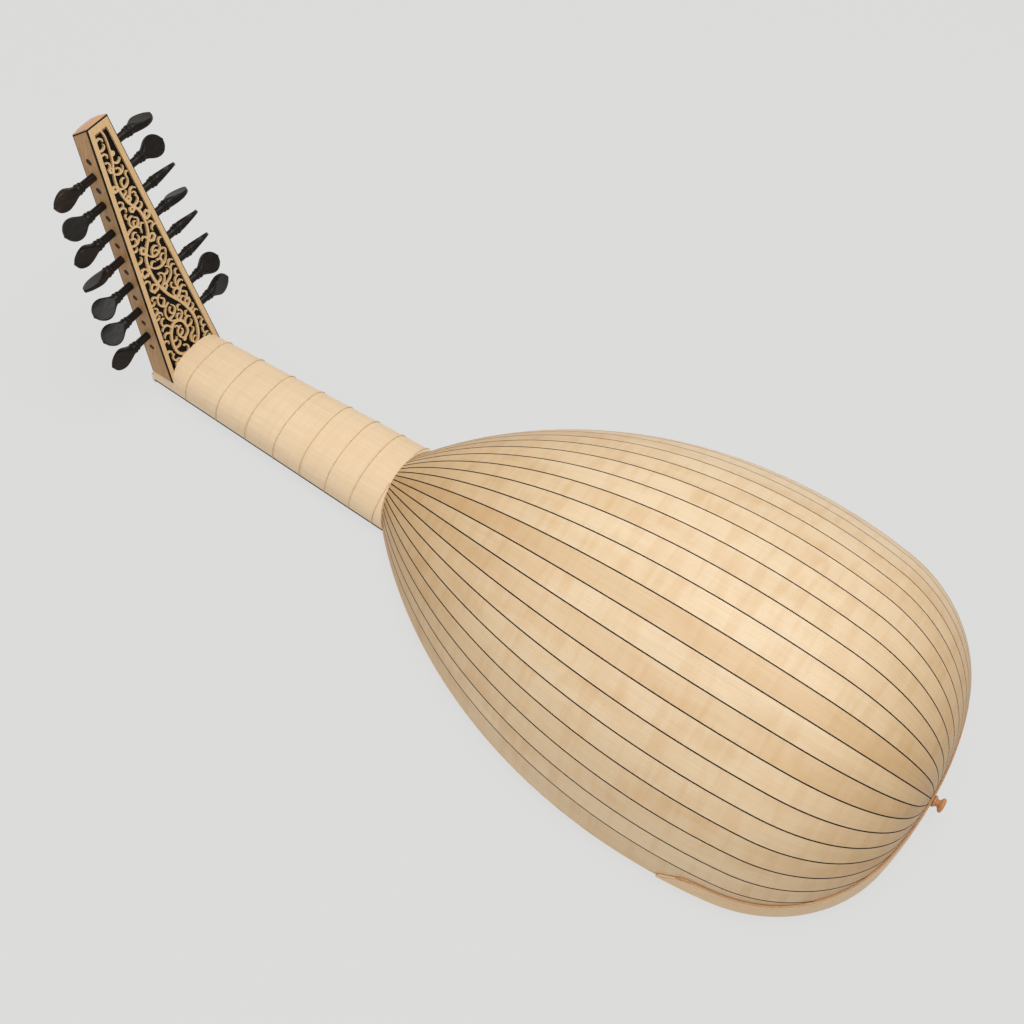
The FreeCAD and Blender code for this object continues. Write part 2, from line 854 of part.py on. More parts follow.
def peg_solid(index, turn):
    """Peg with a tapered shank, a turned collar, a flat round head and a small pip."""
    side = peg_side(index)
    along = peg_along(index)
    face = pegbox_half_width(along)
    far = -(face - peg_end_recess)
    collar = face + peg_shank_out
    head = face + peg_head_centre
    shank_out = peg_radius_head_side
    profile = [
        (far, 0.0),
        (far, peg_radius(index, 1, far)),
        (face, shank_out),
        (collar, shank_out),
        (collar, peg_collar_radius),
        (collar + peg_collar_length, peg_collar_radius),
        (collar + peg_collar_length, peg_neck_radius),
        (head, peg_neck_radius),
        (head, 0.0),
    ]
    corners = [Vector(x, 0, r) for x, r in profile]
    turned = Part.Face(Part.makePolygon(corners + corners[:1])).revolve(Vector(0, 0, 0), Vector(1, 0, 0), 360)
    paddle = Part.makeCylinder(
        peg_head_radius, peg_head_thickness, Vector(head, 0, -peg_head_thickness / 2), Vector(0, 0, 1)
    )
    paddle = paddle.makeFillet(peg_head_thickness * 0.35, [
        edge for edge in paddle.Edges if len(edge.Vertexes) == 1 and edge.Length > peg_head_radius
    ])
    pip_start = head + peg_head_radius - 1.0
    pip_length = face + peg_tip - pip_start
    pip = Part.makeCylinder(peg_pip_radius, pip_length, Vector(pip_start, 0, 0), Vector(1, 0, 0))
    peg = turned.fuse([paddle, pip]).removeSplitter()
    if side < 0:
        peg = peg.mirror(Vector(0, 0, 0), Vector(1, 0, 0))
    peg.rotate(Vector(0, 0, 0), Vector(1, 0, 0), pegbox_angle - 90 + turn)
    peg.translate(in_pegbox(0, along, peg_out(index)))
    return peg


def make_pegs():
    for index in range(peg_count):
        number = index // 2 + 1
        if peg_side(index) > 0:
            export("peg_bass_%d" % number, peg_solid(index, bass_head_turns[number - 1]))
        else:
            export("peg_treble_%d" % number, peg_solid(index, treble_head_turns[number - 1]))


# ---- bridge and strings --------------------------------------------------------------

def string_places():
    """Each string as (diameter, x at the bridge, x at the nut), from treble to bass."""
    places = []
    courses = len(course_diameters)
    for course in range(1, courses + 1):
        share = (course - 1) / (courses - 1) - 0.5
        diameter = course_diameters[course - 1]
        bridge_x = share * course_span_bridge
        nut_x = share * course_span_nut
        if course == 1:
            places.append((diameter, bridge_x, nut_x))
            continue
        second = diameter * octave_ratio if course >= octave_from_course else diameter
        places.append((diameter, bridge_x - pair_gap_bridge / 2, nut_x - pair_gap_nut / 2))
        places.append((second, bridge_x + pair_gap_bridge / 2, nut_x + pair_gap_nut / 2))
    return places


def peg_for_string(order):
    """The outer strings go to the pegs nearest the nut, treble strings to treble pegs."""
    trebles = peg_count // 2
    if order < trebles:
        return 2 * order + 1
    return 2 * (peg_count - 1 - order)


def string_bridge_z():
    return board_front_z - string_height_bridge


def make_bridge():
    y = bridge_front_y - bridge_width
    corner = Vector(-bridge_length / 2, y, bridge_top_z)
    blank = Part.makeBox(bridge_length, bridge_width, bridge_height, corner)
    step = Part.makeBox(
        bridge_length + 2, bridge_front_lip + 1, bridge_step,
        Vector(-bridge_length / 2 - 1, bridge_front_y - bridge_front_lip, bridge_top_z),
    )
    bridge = blank.cut(step)
    holes = []
    for order, (diameter, bridge_x, nut_x) in enumerate(string_places()):
        _, anchor, corner, _ = string_route(order, diameter, bridge_x, nut_x)
        onward = (corner - anchor).normalize()
        start = anchor - onward * (bridge_width + 2)
        radius = diameter / 2 + bridge_hole_clearance
        holes.append(Part.makeCylinder(radius, bridge_width + 4, start, onward))
    export("bridge", bridge.cut(Part.makeCompound(holes)))


def string_route(order, diameter, bridge_x, nut_x):
    """Points of a string: its end in the bridge, the bridge's face, the nut, its peg's winding."""
    index = peg_for_string(order)
    along = peg_along(index)
    reach = pegbox_half_width(along) - cheek_thickness - 2.5
    peg_x = nut_x * reach / (course_span_nut / 2 + pair_gap_nut / 2)
    nut_top = -fingerboard_thickness - nut_height - diameter / 2 - string_nut_gap
    slope = (nut_x - bridge_x) / string_length
    anchor = Vector(bridge_x, bridge_front_y, string_bridge_z())
    corner = Vector(nut_x + slope * nut_thickness, nut_y + nut_thickness + diameter / 2 + 0.3, nut_top)
    start = anchor + (anchor - corner).normalize() * string_tail
    centre = in_pegbox(peg_x, along, peg_out(index))
    radius = peg_radius(index, peg_side(index), peg_x) + diameter / 2 + winding_gap
    distance = math.hypot(centre.y - corner.y, centre.z - corner.z)
    bearing = math.atan2(centre.z - corner.z, centre.y - corner.y)
    lean = bearing - math.asin(radius / distance)
    run = math.sqrt(distance ** 2 - radius ** 2)
    end = Vector(peg_x, corner.y + run * math.cos(lean), corner.z + run * math.sin(lean))
    return start, anchor, corner, end


def bent_tube(start, corner, end, bend_radius, radius):
    """Round tube of two straight runs joined by a tangent arc."""
    back = (start - corner).normalize()
    onward = (end - corner).normalize()
    half_turn = (math.pi - back.getAngle(onward)) / 2
    setback = bend_radius * math.tan(half_turn)
    first = corner + back * setback
    last = corner + onward * setback
    bisector = (back + onward).normalize()
    centre = corner + bisector * (bend_radius / math.cos(half_turn))
    middle = centre - bisector * bend_radius
    path = Part.Wire([
        Part.makeLine(start, first),
        Part.Arc(first, middle, last).toShape(),
        Part.makeLine(last, end),
    ])
    circle = Part.Wire([Part.makeCircle(radius, start, start - first)])
    return path.makePipeShell([circle], True, True)


def make_strings():
    tubes = []
    for order, (diameter, bridge_x, nut_x) in enumerate(string_places()):
        start, _, corner, end = string_route(order, diameter, bridge_x, nut_x)
        tubes.append(bent_tube(start, corner, end, string_bend_radius, diameter / 2))
    export("strings", Part.makeCompound(tubes))


# ---- strap button --------------------------------------------------------------------

def make_strap_button():
    face = -strip_glue_gap - strip_thickness
    tip = face - button_length
    profile = [
        (button_tenon_length, 0.0),
        (button_tenon_length, button_tenon_radius),
        (face, button_tenon_radius),
        (face, button_base_radius),
        (face - button_length * 0.16, button_base_radius),
        (face - button_length * 0.34, button_waist_radius),
        (face - button_length * 0.58, button_waist_radius),
        (face - button_length * 0.66, button_head_radius),
        (face - button_length * 0.88, button_head_radius),
        (tip, button_head_radius * 0.55),
        (tip, 0.0),
    ]
    corners = [Vector(button_offset, y, button_height + r) for y, r in profile]
    face_shape = Part.Face(Part.makePolygon(corners + corners[:1]))
    export("strap_button", face_shape.revolve(Vector(button_offset, 0, button_height), Vector(0, 1, 0), 360))


make_ribs()
make_rib_spacers()
make_capping_strip()
make_tail_liner()
make_soundboard()
make_soundboard_bars()
make_neck()
make_neck_block()
make_fingerboard()
make_nut()
make_frets()
make_cheeks()
make_pegbox_back()
make_pegbox_end()
make_pegbox_edge_lines()
make_pegs()
make_bridge()
make_strings()
make_strap_button()
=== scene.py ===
"""Looks of an eight-course Renaissance lute lying on its bridge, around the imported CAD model.

Shapes are worked out in mm in the body frame: the tail is at y = 0 and the neck runs
towards +Y, x = 0 is the centre line with the bass side at +X, and z = 0 is the inner face
of the soundboard with the bowl towards +Z. to_row() turns them into the row frame, in metres.
"""
import json
import math

import bmesh
import bpy
import numpy as np
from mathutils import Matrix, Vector


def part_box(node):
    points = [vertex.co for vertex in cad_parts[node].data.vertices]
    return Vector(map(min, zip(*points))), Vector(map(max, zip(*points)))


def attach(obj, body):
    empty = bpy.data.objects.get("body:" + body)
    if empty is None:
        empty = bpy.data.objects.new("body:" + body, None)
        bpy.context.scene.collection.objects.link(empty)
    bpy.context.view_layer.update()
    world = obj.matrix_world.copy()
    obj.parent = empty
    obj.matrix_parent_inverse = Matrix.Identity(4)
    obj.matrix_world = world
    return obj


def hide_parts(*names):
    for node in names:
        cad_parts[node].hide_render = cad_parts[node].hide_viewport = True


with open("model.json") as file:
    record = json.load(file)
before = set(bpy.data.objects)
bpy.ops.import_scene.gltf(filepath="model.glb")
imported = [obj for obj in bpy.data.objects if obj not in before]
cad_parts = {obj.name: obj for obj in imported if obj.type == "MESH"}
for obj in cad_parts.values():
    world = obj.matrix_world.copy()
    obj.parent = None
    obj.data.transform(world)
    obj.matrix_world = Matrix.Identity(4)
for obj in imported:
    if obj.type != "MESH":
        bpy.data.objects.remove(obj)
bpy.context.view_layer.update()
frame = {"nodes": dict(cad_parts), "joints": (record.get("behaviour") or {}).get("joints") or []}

MM = 0.001
MAIN_BODY = "lute"

# ---- dimensions shared with the CAD source, mm and degrees ------------------------

body_length = 443.0
body_half_width = 159.0
widest_y = 162.0
tail_radius = 315.0
hip_radius = 109.0
depth_ratio = 0.878
depth_ratio_change = 0.154
rib_count = 25
edge_rib_angle = 9.2
rib_thickness = 1.6
rib_start_radius = 9.0

strip_thickness = 1.1
strip_glue_gap = 0.3
strip_height_flank = 13.0
strip_height_tail = 24.0
strip_half_span = 134.0
strip_ogee_length = 20.0
strip_end_height = 1.0

soundboard_thickness = 1.8
rose_place = 0.61

bridge_length = 164.0
bridge_width = 14.0
bridge_height = 8.0
bridge_step = 2.2
string_height_bridge = 5.2

string_length = 600.0
course_diameters = (0.44, 0.52, 0.64, 0.80, 0.92, 1.05, 1.15, 1.25)
octave_from_course = 6
octave_ratio = 0.6
course_span_bridge = 116.0
course_span_nut = 46.0
pair_gap_bridge = 5.0
pair_gap_nut = 3.4

neck_joint_to_nut = 232.7
neck_joint_lean = 0.40
neck_half_width_joint = 40.3
neck_half_width_nut = 29.0
neck_depth_nut = 23.5
neck_roundness_joint = 1.95
neck_roundness_nut = 2.8
fingerboard_thickness = 1.8
nut_thickness = 3.6
nut_height = 4.2
fret_count = 8

pegbox_angle = 73.5
pegbox_back_from_nut = 20.8
ledge_height = 10.0
pegbox_length = 224.0
pegbox_half_width_base = 29.4
pegbox_half_width_top = 10.1
pegbox_depth_top = 18.1
pegbox_top_slope = 8.0
cheek_thickness = 4.5
back_thickness = 1.8
edge_line = 0.6
end_cap_thickness = 1.4
panel_border = 4.6

peg_radius_head_side = 3.0
peg_taper = 0.0135
peg_tip = 40.5
bass_head_turns = (96.0, 62.0, 142.0, 144.0, 163.0, 144.0, 58.0, 176.0)
treble_head_turns = (99.0, 44.0, 40.0, 162.0, 104.0, 58.0, 102.0)

button_height = 11.0
button_offset = -6.5

# ---- sizes of the visual model only, mm -------------------------------------------

spacer_width = 0.95
winding_gap = 0.1
fret_radius = 0.33
cap_edge = 0.5
cap_crown = 2.3
cap_line_height = 1.2
cap_line_proud = 0.12
top_line_height = 0.35

# ---- derived values ---------------------------------------------------------------

row_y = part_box("soundboard")[0].y / MM
row_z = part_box("soundboard")[1].z / MM
nut_y = body_length + neck_joint_to_nut
bridge_front_y = nut_y - string_length
pegbox_tilt = math.radians(pegbox_angle)
along_pegbox = Vector((0, math.cos(pegbox_tilt), math.sin(pegbox_tilt)))
out_of_pegbox = Vector((0, math.sin(pegbox_tilt), -math.cos(pegbox_tilt)))
pegbox_origin = Vector((0, nut_y - pegbox_back_from_nut, ledge_height))

narrowing = body_half_width - neck_half_width_joint
flank_radius = (narrowing ** 2 + (body_length - widest_y) ** 2) / (2 * narrowing)
flank_centre = (body_half_width - flank_radius, widest_y)
tail_centre = (0.0, tail_radius)


def to_row(point):
    """Row-frame place, in metres, of a body-frame point in mm."""
    return Vector((point[0], point[1] + row_y, point[2] + row_z)) * MM


def bisect(is_low, low, high, steps=40):
    """The value between low and high up to which is_low holds."""
    for _ in range(steps):
        middle = (low + high) / 2
        if is_low(middle):
            low = middle
        else:
            high = middle
    return low


# ---- body outline and bowl --------------------------------------------------------

def hip_centre_at(turn):
    reach = tail_radius - hip_radius
    return reach * math.sin(turn), tail_radius - reach * math.cos(turn)


def short_of_flank(turn):
    centre = hip_centre_at(turn)
    gap = math.hypot(centre[0] - flank_centre[0], centre[1] - flank_centre[1])
    return gap < flank_radius - hip_radius


steepest_heading = math.pi - math.asin((rib_start_radius - flank_centre[0]) / flank_radius)
tail_turn = bisect(short_of_flank, 0.0, math.pi / 2, 60)
hip_centre = hip_centre_at(tail_turn)
flank_turn = math.atan2(hip_centre[0] - flank_centre[0], flank_centre[1] - hip_centre[1])
outline_arcs = (
    (tail_turn, tail_centre, tail_radius),
    (flank_turn, hip_centre, hip_radius),
    (math.pi, flank_centre, flank_radius),
)


def outline_point(heading):
    """Half width and y where the outline has this heading; 0 is straight across the tail."""
    for last, centre, radius in outline_arcs:
        if heading <= last:
            break
    return centre[0] + radius * math.sin(heading), centre[1] - radius * math.cos(heading)


outline_tops = [outline_point(last)[1] for last, _, _ in outline_arcs[:2]] + [1e9]


def outline_arc_at(y):
    for top, (_, centre, radius) in zip(outline_tops, outline_arcs):
        if y <= top:
            return centre, radius


def half_width(y):
    centre, radius = outline_arc_at(y)
    return centre[0] + math.sqrt(max(radius ** 2 - (y - centre[1]) ** 2, 0.0))


def heading_at_y(y):
    centre, radius = outline_arc_at(y)
    return math.acos(max(-1.0, min(1.0, (centre[1] - y) / radius)))


def depth_ratio_at(y):
    return depth_ratio + depth_ratio_change * (y / body_length - 0.5)


def bowl_height(x, y):
    """Height of the bowl's smooth surface over a point of the soundboard, 0 outside it."""
    if y <= 0:
        return 0.0
    inside = half_width(y) ** 2 - x ** 2
    return depth_ratio_at(y) * math.sqrt(inside) if inside > 0 else 0.0


inner_rib_angle = (180.0 - 2 * edge_rib_angle) / (rib_count - 2)


def rib_boundary_angle(index):
    """Angle of rib boundary 0 to rib_count about the body's centre line; 0 is the crown."""
    if index == 0:
        return -90.0
    if index == rib_count:
        return 90.0
    return -90.0 + edge_rib_angle + (index - 1) * inner_rib_angle


def bowl_point(heading, angle, depth):
    """Point of the bowl at this depth below its outer surface."""
    width, y = outline_point(heading)
    ratio = depth_ratio_at(y)
    width -= depth * math.sin(heading)
    y += depth * math.cos(heading)
    turn = math.radians(angle)
    return Vector((width * math.sin(turn), y, ratio * width * math.cos(turn)))


def seam_point(heading, boundary, rib, depth):
    """Point on a rib's edge, set back from the boundary by half a spacer."""
    point = bowl_point(heading, rib_boundary_angle(boundary), depth)
    if boundary in (0, rib_count):
        return point
    first = bowl_point(heading, rib_boundary_angle(rib - 1), depth)
    last = bowl_point(heading, rib_boundary_angle(rib), depth)
    side = -1 if rib == boundary else 1
    return point + (last - first).normalized() * (side * spacer_width / 2)


rib_stations = 84
rib_start = math.asin(rib_start_radius / tail_radius)


def seam_points(boundary, rib, depth):
    """Points along a rib's edge, from the tail to the neck joint."""
    def before_joint(heading):
        point = seam_point(heading, boundary, rib, depth)
        return point.y < body_length + neck_joint_lean * point.z

    end = bisect(before_joint, 0.0, steepest_heading)
    return [
        seam_point(rib_start + (end - rib_start) * station / (rib_stations - 1), boundary, rib, depth)
        for station in range(rib_stations)
    ]


# ---- mesh helpers -----------------------------------------------------------------

def loft_faces(rings, around, closed_ends=True):
    """Faces of a tube through this many rings of points, with flat ends."""
    faces = []
    for ring in range(rings - 1):
        for step in range(around):
            after = (step + 1) % around
            base = ring * around
            faces.append((base + step, base + after, base + around + after, base + around + step))
    if closed_ends:
        faces.append(tuple(range(around))[::-1])
        faces.append(tuple((rings - 1) * around + step for step in range(around)))
    return faces


def add_piece(name, data, body, material, replaced=()):
    """Add an object for this mesh or curve that rides on a body of the CAD model."""
    piece = bpy.data.objects.new(name, data)
    bpy.context.scene.collection.objects.link(piece)
    data.materials.append(material)
    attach(piece, body)
    if replaced:
        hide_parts(*replaced)
    return piece


def build_mesh(name, points, faces, sharp_angle=40.0, grain=None):
    """Mesh in the row frame from body-frame points, with outward normals.

    grain holds (along, across) in metres for each point, for materials that follow it.
    """
    mesh = bpy.data.meshes.new(name)
    mesh.from_pydata([to_row(point) for point in points], [], faces)
    if grain:
        layer = mesh.uv_layers.new(name="grain")
        for loop in mesh.loops:
            layer.data[loop.index].uv = grain[loop.vertex_index]
    tidy = bmesh.new()
    tidy.from_mesh(mesh)
    bmesh.ops.recalc_face_normals(tidy, faces=tidy.faces)
    tidy.to_mesh(mesh)
    tidy.free()
    mesh.shade_smooth()
    mesh.set_sharp_from_angle(angle=math.radians(sharp_angle))
    return mesh


def joined_lofts(lofts):
    """Points and faces of several lofts, each a list of rings of points."""
    points = []
    faces = []
    for rings in lofts:
        start = len(points)
        for ring in rings:
            points.extend(ring)
        for face in loft_faces(len(rings), len(rings[0])):
            faces.append(tuple(start + corner for corner in face))
    return points, faces


def tube_curve(name, splines, bevel_sides=3):
    """Round-section curve from lists of (body-frame point, radius in mm)."""
    curve = bpy.data.curves.new(name, "CURVE")
    curve.dimensions = "3D"
    curve.bevel_depth = MM
    curve.bevel_resolution = bevel_sides
    curve.use_fill_caps = True
    for points, cyclic in splines:
        spline = curve.splines.new("POLY")
        spline.points.add(len(points) - 1)
        for target, (point, radius) in zip(spline.points, points):
            target.co = (*to_row(point), 1.0)
            target.radius = radius
        spline.use_cyclic_u = cyclic
    return curve


def smooth_path(corners, steps=12):
    """Points on a smooth path that passes through every corner."""
    corners = [np.array(corner, float) for corner in corners]
    padded = [2 * corners[0] - corners[1]] + corners + [2 * corners[-1] - corners[-2]]
    path = []
    for a, b, c, d in zip(padded, padded[1:], padded[2:], padded[3:]):
        for step in range(steps):
            t = step / steps
            path.append(0.5 * (
                2 * b + (c - a) * t + (2 * a - 5 * b + 4 * c - d) * t ** 2
                + (3 * b - 3 * c + d - a) * t ** 3
            ))
    path.append(corners[-1])
    return path


# ---- pierced panels ---------------------------------------------------------------

class PiercedField:
    """Distance field over a rectangle, below 0 where there is wood, with holes cut by contour."""

    def __init__(self, low, high, cell):
        self.low = np.array(low, float)
        self.cell = cell
        counts = np.ceil((np.array(high) - self.low) / cell).astype(int) + 1
        across = self.low[0] + cell * np.arange(counts[0])
        along = self.low[1] + cell * np.arange(counts[1])
        self.x, self.y = np.meshgrid(across, along, indexing="ij")
        self.value = np.full(self.x.shape, 50.0)

    def merge(self, distance, index, blend):
        """Add wood, with a fillet of about the blend size where it meets other wood."""
        old = self.value[index]
        share = np.clip(0.5 + 0.5 * (old - distance) / blend, 0, 1)
        self.value[index] = old + (distance - old) * share - blend * share * (1 - share)

    def stroke(self, path, widths, blend=0.5):
        """Add a band of wood along a path, with these half widths at its points."""
        distance = np.full(self.x.shape, 50.0)
        for (p, q), (w0, w1) in zip(zip(path, path[1:]), zip(widths, widths[1:])):
            reach = max(w0, w1) + 9.0
            first = np.floor((np.minimum(p, q) - reach - self.low) / self.cell).astype(int)
            last = np.ceil((np.maximum(p, q) + reach - self.low) / self.cell).astype(int) + 1
            first = np.maximum(first, 0)
            if np.any(last <= 0) or np.any(first >= self.x.shape):
                continue
            near = (slice(first[0], last[0]), slice(first[1], last[1]))
            span = q - p
            length = float(span @ span) or 1e-9
            share = ((self.x[near] - p[0]) * span[0] + (self.y[near] - p[1]) * span[1]) / length
            share = np.clip(share, 0, 1)
            gap = np.hypot(
                self.x[near] - p[0] - share * span[0], self.y[near] - p[1] - share * span[1]
            ) - (w0 + (w1 - w0) * share)
            distance[near] = np.minimum(distance[near], gap)
        self.merge(distance, np.s_[:, :], blend)

    def contours(self, least_area):
        """Closed outlines of the holes, as lists of (x, y)."""
        value = self.value
        crossings = {}

        def crossing(i, j, down):
            key = (i, j, down)
            other = (i + 1, j) if down else (i, j + 1)
            start, end = value[i, j], value[other]
            share = start / (start - end)
            crossings[key] = self.low + self.cell * np.array(
                [i + (share if down else 0.0), j + (0.0 if down else share)]
            )
            return key

        links = {}
        hole = value > 0
        mixed = hole[:-1, :-1].astype(int) + hole[1:, :-1] + hole[:-1, 1:] + hole[1:, 1:]
        for i, j in np.argwhere((mixed > 0) & (mixed < 4)):
            corners = ((i, j), (i + 1, j), (i + 1, j + 1), (i, j + 1))
            edges = ((i, j, True), (i + 1, j, False), (i, j + 1, True), (i, j, False))
            inside = [bool(hole[corner]) for corner in corners]
            entries = [edges[k] for k in range(4) if not inside[k] and inside[(k + 1) % 4]]
            exits = [edges[k] for k in range(4) if inside[k] and not inside[(k + 1) % 4]]
            if len(entries) == 2 and edges.index(exits[0]) != (edges.index(entries[0]) + 1) % 4:
                exits.reverse()
            for entry, leave in zip(entries, exits):
                links[crossing(*entry)] = crossing(*leave)
        loops = []
        while links:
            start, key = links.popitem()
            loop = [crossings[start]]
            while key != start and key in links:
                loop.append(crossings[key])
                key = links.pop(key)
            points = np.array(loop)
            after = np.roll(points, -1, 0)
            area = 0.5 * np.sum(points[:, 0] * after[:, 1] - after[:, 0] * points[:, 1])
            if abs(area) > least_area:
                loops.append(thinned(loop, self.cell * 0.12))
        return loops


def thinned(loop, tolerance):
    """The loop without points that lie within the tolerance of a straight run."""
    kept = [loop[0]]
    index = 0
    while index < len(loop) - 1:
        reach = index + 1
        while reach + 1 < len(loop) and reach - index < 12:
            span = loop[reach + 1] - loop[index]
            length = max(math.hypot(*span), 1e-9)
            between = np.array(loop[index + 1:reach + 1]) - loop[index]
            if np.max(np.abs(between[:, 0] * span[1] - between[:, 1] * span[0])) / length > tolerance:
                break
            reach += 1
        kept.append(loop[reach])
        index = reach
    return kept


def pierced_mesh(name, outline, holes, thickness, place):
    """Plate of this thickness with holes through it; place() puts (x, y, depth) in the body frame."""
    curve = bpy.data.curves.new(name, "CURVE")
    curve.dimensions = "2D"
    curve.fill_mode = "BOTH"
    curve.extrude = thickness / 2
    for loop in [outline] + holes:
        spline = curve.splines.new("POLY")
        spline.points.add(len(loop) - 1)
        for target, point in zip(spline.points, loop):
            target.co = (point[0], point[1], 0.0, 1.0)
        spline.use_cyclic_u = True
    blank = bpy.data.objects.new(name, curve)
    mesh = bpy.data.meshes.new_from_object(blank)
    bpy.data.objects.remove(blank)
    for vertex in mesh.vertices:
        x, y, depth = vertex.co
        vertex.co = to_row(place(x, y, depth))
    tidy = bmesh.new()
    tidy.from_mesh(mesh)
    bmesh.ops.remove_doubles(tidy, verts=tidy.verts, dist=1e-7)
    bmesh.ops.recalc_face_normals(tidy, faces=tidy.faces)
    tidy.to_mesh(mesh)
    tidy.free()
    mesh.shade_smooth()
    mesh.set_sharp_from_angle(angle=math.radians(40))
    mesh.name = name
    return mesh


# ---- materials --------------------------------------------------------------------

class Material:
    """A node material under construction, with short ways to add and link nodes."""

    def __init__(self, name, roughness, specular=0.5, coat=0.0):
        self.material = bpy.data.materials.new(name)
        self.material.use_nodes = True
        self.tree = self.material.node_tree
        self.shader = self.tree.nodes["Principled BSDF"]
        self.shader.inputs["Roughness"].default_value = roughness
        self.shader.inputs["Specular IOR Level"].default_value = specular
        self.shader.inputs["Coat Weight"].default_value = coat

    def put(self, socket, value):
        if isinstance(value, bpy.types.NodeSocket):
            self.tree.links.new(value, socket)
        else:
            socket.default_value = value

    def node(self, kind, output=0, settings=None, **inputs):
        made = self.tree.nodes.new(kind)
        for name, value in (settings or {}).items():
            setattr(made, name, value)
        for name, value in inputs.items():
            self.put(made.inputs[int(name[1:])], value)
        return made.outputs[output]

    def coordinates(self, scale, grain_layer=False, offset=(0.0, 0.0, 0.0)):
        if grain_layer:
            source = self.node("ShaderNodeUVMap", settings={"uv_map": "grain"})
        else:
            source = self.node("ShaderNodeTexCoord", output=3)
        return self.node("ShaderNodeMapping", _0=source, _1=offset, _3=scale)

    def noise(self, vector, detail=3.0, roughness=0.55, distortion=0.0):
        made = self.tree.nodes.new("ShaderNodeTexNoise")
        self.put(made.inputs["Vector"], vector)
        made.inputs["Scale"].default_value = 1.0
        made.inputs["Detail"].default_value = detail
        made.inputs["Roughness"].default_value = roughness
        made.inputs["Distortion"].default_value = distortion
        return made.outputs["Fac"]

    def spread(self, value, low, high, to_low=0.0, to_high=1.0):
        made = self.tree.nodes.new("ShaderNodeMapRange")
        made.interpolation_type = "SMOOTHSTEP"
        for name, number in (("From Min", low), ("From Max", high), ("To Min", to_low), ("To Max", to_high)):
            made.inputs[name].default_value = number
        self.put(made.inputs["Value"], value)
        return made.outputs["Result"]

    def mix(self, share, first, second, kind="MIX"):
        made = self.tree.nodes.new("ShaderNodeMix")
        made.data_type = "RGBA"
        made.blend_type = kind
        self.put(made.inputs[0], share)
        self.put(made.inputs[6], first)
        self.put(made.inputs[7], second)
        return made.outputs[2]

    def math(self, operation, first, second):
        return self.node("ShaderNodeMath", settings={"operation": operation}, _0=first, _1=second)

    def colour(self, value):
        self.put(self.shader.inputs["Base Color"], value)

    def bump(self, height, distance, strength=0.5):
        made = self.tree.nodes.new("ShaderNodeBump")
        made.inputs["Strength"].default_value = strength
        made.inputs["Distance"].default_value = distance
        self.put(made.inputs["Height"], height)
        self.put(self.shader.inputs["Normal"], made.outputs["Normal"])

    def roughen(self, value, low, high):
        self.put(self.shader.inputs["Roughness"], self.spread(value, 0.3, 0.7, low, high))


def rgb(red, green, blue):
    return (red, green, blue, 1.0)


def scaled(colour, factor):
    return rgb(*(part * factor for part in colour[:3]))


# deeper tone of the ribs towards their ends, partly the wood's own deeper tone and partly painted shade where
# the bowl curves away from the light, and how far it reaches, in metres
end_tone_and_shade = rgb(0.70, 0.575, 0.385)
tail_tone_and_shade_length = 0.21
neck_tone_and_shade_length = 0.24


def wood(name, light, dark, fibre, figure, flecks, grain="y", rib_layer=False, roughness=(0.38, 0.5),
         ripple=0.0, seed=0.0, patch=None, ends=None):
    """Fine-grained wood: fibres along the grain, a cloudy cross figure, and short flecks.

    fibre, figure and flecks are how strongly each shows; ripple adds close bands across the
    grain; patch is a second tone that comes and goes in soft areas; ends is where a rib's grain
    layer starts and how long the rib is, for the deeper tone towards its two ends, which is
    partly the wood's own tone and partly painted shade.
    """
    made = Material(name, roughness[0], 0.28)
    offset = (seed * 3.1, seed * 7.7, seed * 5.3)

    def along_across(along, across):
        if rib_layer or grain == "x":
            return (along, across, across)
        return (across, along, across) if grain == "y" else (across, across, along)

    def layer(along, across, **options):
        return made.noise(made.coordinates(along_across(along, across), rib_layer, offset), **options)

    fibres = layer(26.0, 1500.0, detail=4.0, roughness=0.6)
    clouds = layer(17.0, 38.0, detail=3.0, distortion=0.3)
    speckle = layer(260.0, 1100.0, detail=2.0)
    drift = layer(5.0, 30.0, detail=2.0)
    streaks = layer(9.0, 430.0, detail=3.0, roughness=0.7)
    colour = made.mix(made.spread(fibres, 0.30, 0.72, 0.0, fibre), light, dark)
    colour = made.mix(made.spread(clouds, 0.42, 0.78, 0.0, figure), colour, patch or dark)
    colour = made.mix(made.spread(streaks, 0.40, 0.70, 0.0, fibre), colour, dark)
    colour = made.mix(made.spread(speckle, 0.60, 0.72, 0.0, flecks), colour, scaled(dark, 0.72))
    colour = made.mix(made.spread(drift, 0.42, 0.70, 0.0, 0.35), colour, scaled(dark, 1.12))
    height = made.math("MULTIPLY", fibres, 0.6)
    if ripple:
        bands = layer(130.0 if rib_layer else 330.0, 20.0, detail=1.0, distortion=0.3)
        band_share = made.math("MULTIPLY", made.spread(bands, 0.42, 0.70, 0.0, ripple), clouds)
        colour = made.mix(band_share, colour, patch or dark)
        height = made.math("ADD", height, made.math("MULTIPLY", bands, 0.4))
    # painted shade: the rib is darkened towards the tail and the neck, where the bowl curves away from the
    # light, together with the wood's own deeper tone there
    if ends:
        start, length = ends
        layer_vector = made.node("ShaderNodeUVMap", settings={"uv_map": "grain"})
        place = made.node("ShaderNodeSeparateXYZ", _0=layer_vector)
        tail_tone_and_shade_share = made.spread(place, start, start + tail_tone_and_shade_length, 1.0, 0.0)
        neck_tone_and_shade_share = made.spread(place, start + length - neck_tone_and_shade_length, start + length, 0.0, 0.75)
        colour = made.mix(made.math("MAXIMUM", tail_tone_and_shade_share, neck_tone_and_shade_share), colour, end_tone_and_shade, "MULTIPLY")
    made.colour(colour)
    made.roughen(fibres, *roughness)
    made.bump(height, 0.00006, 0.35)
    return made.material


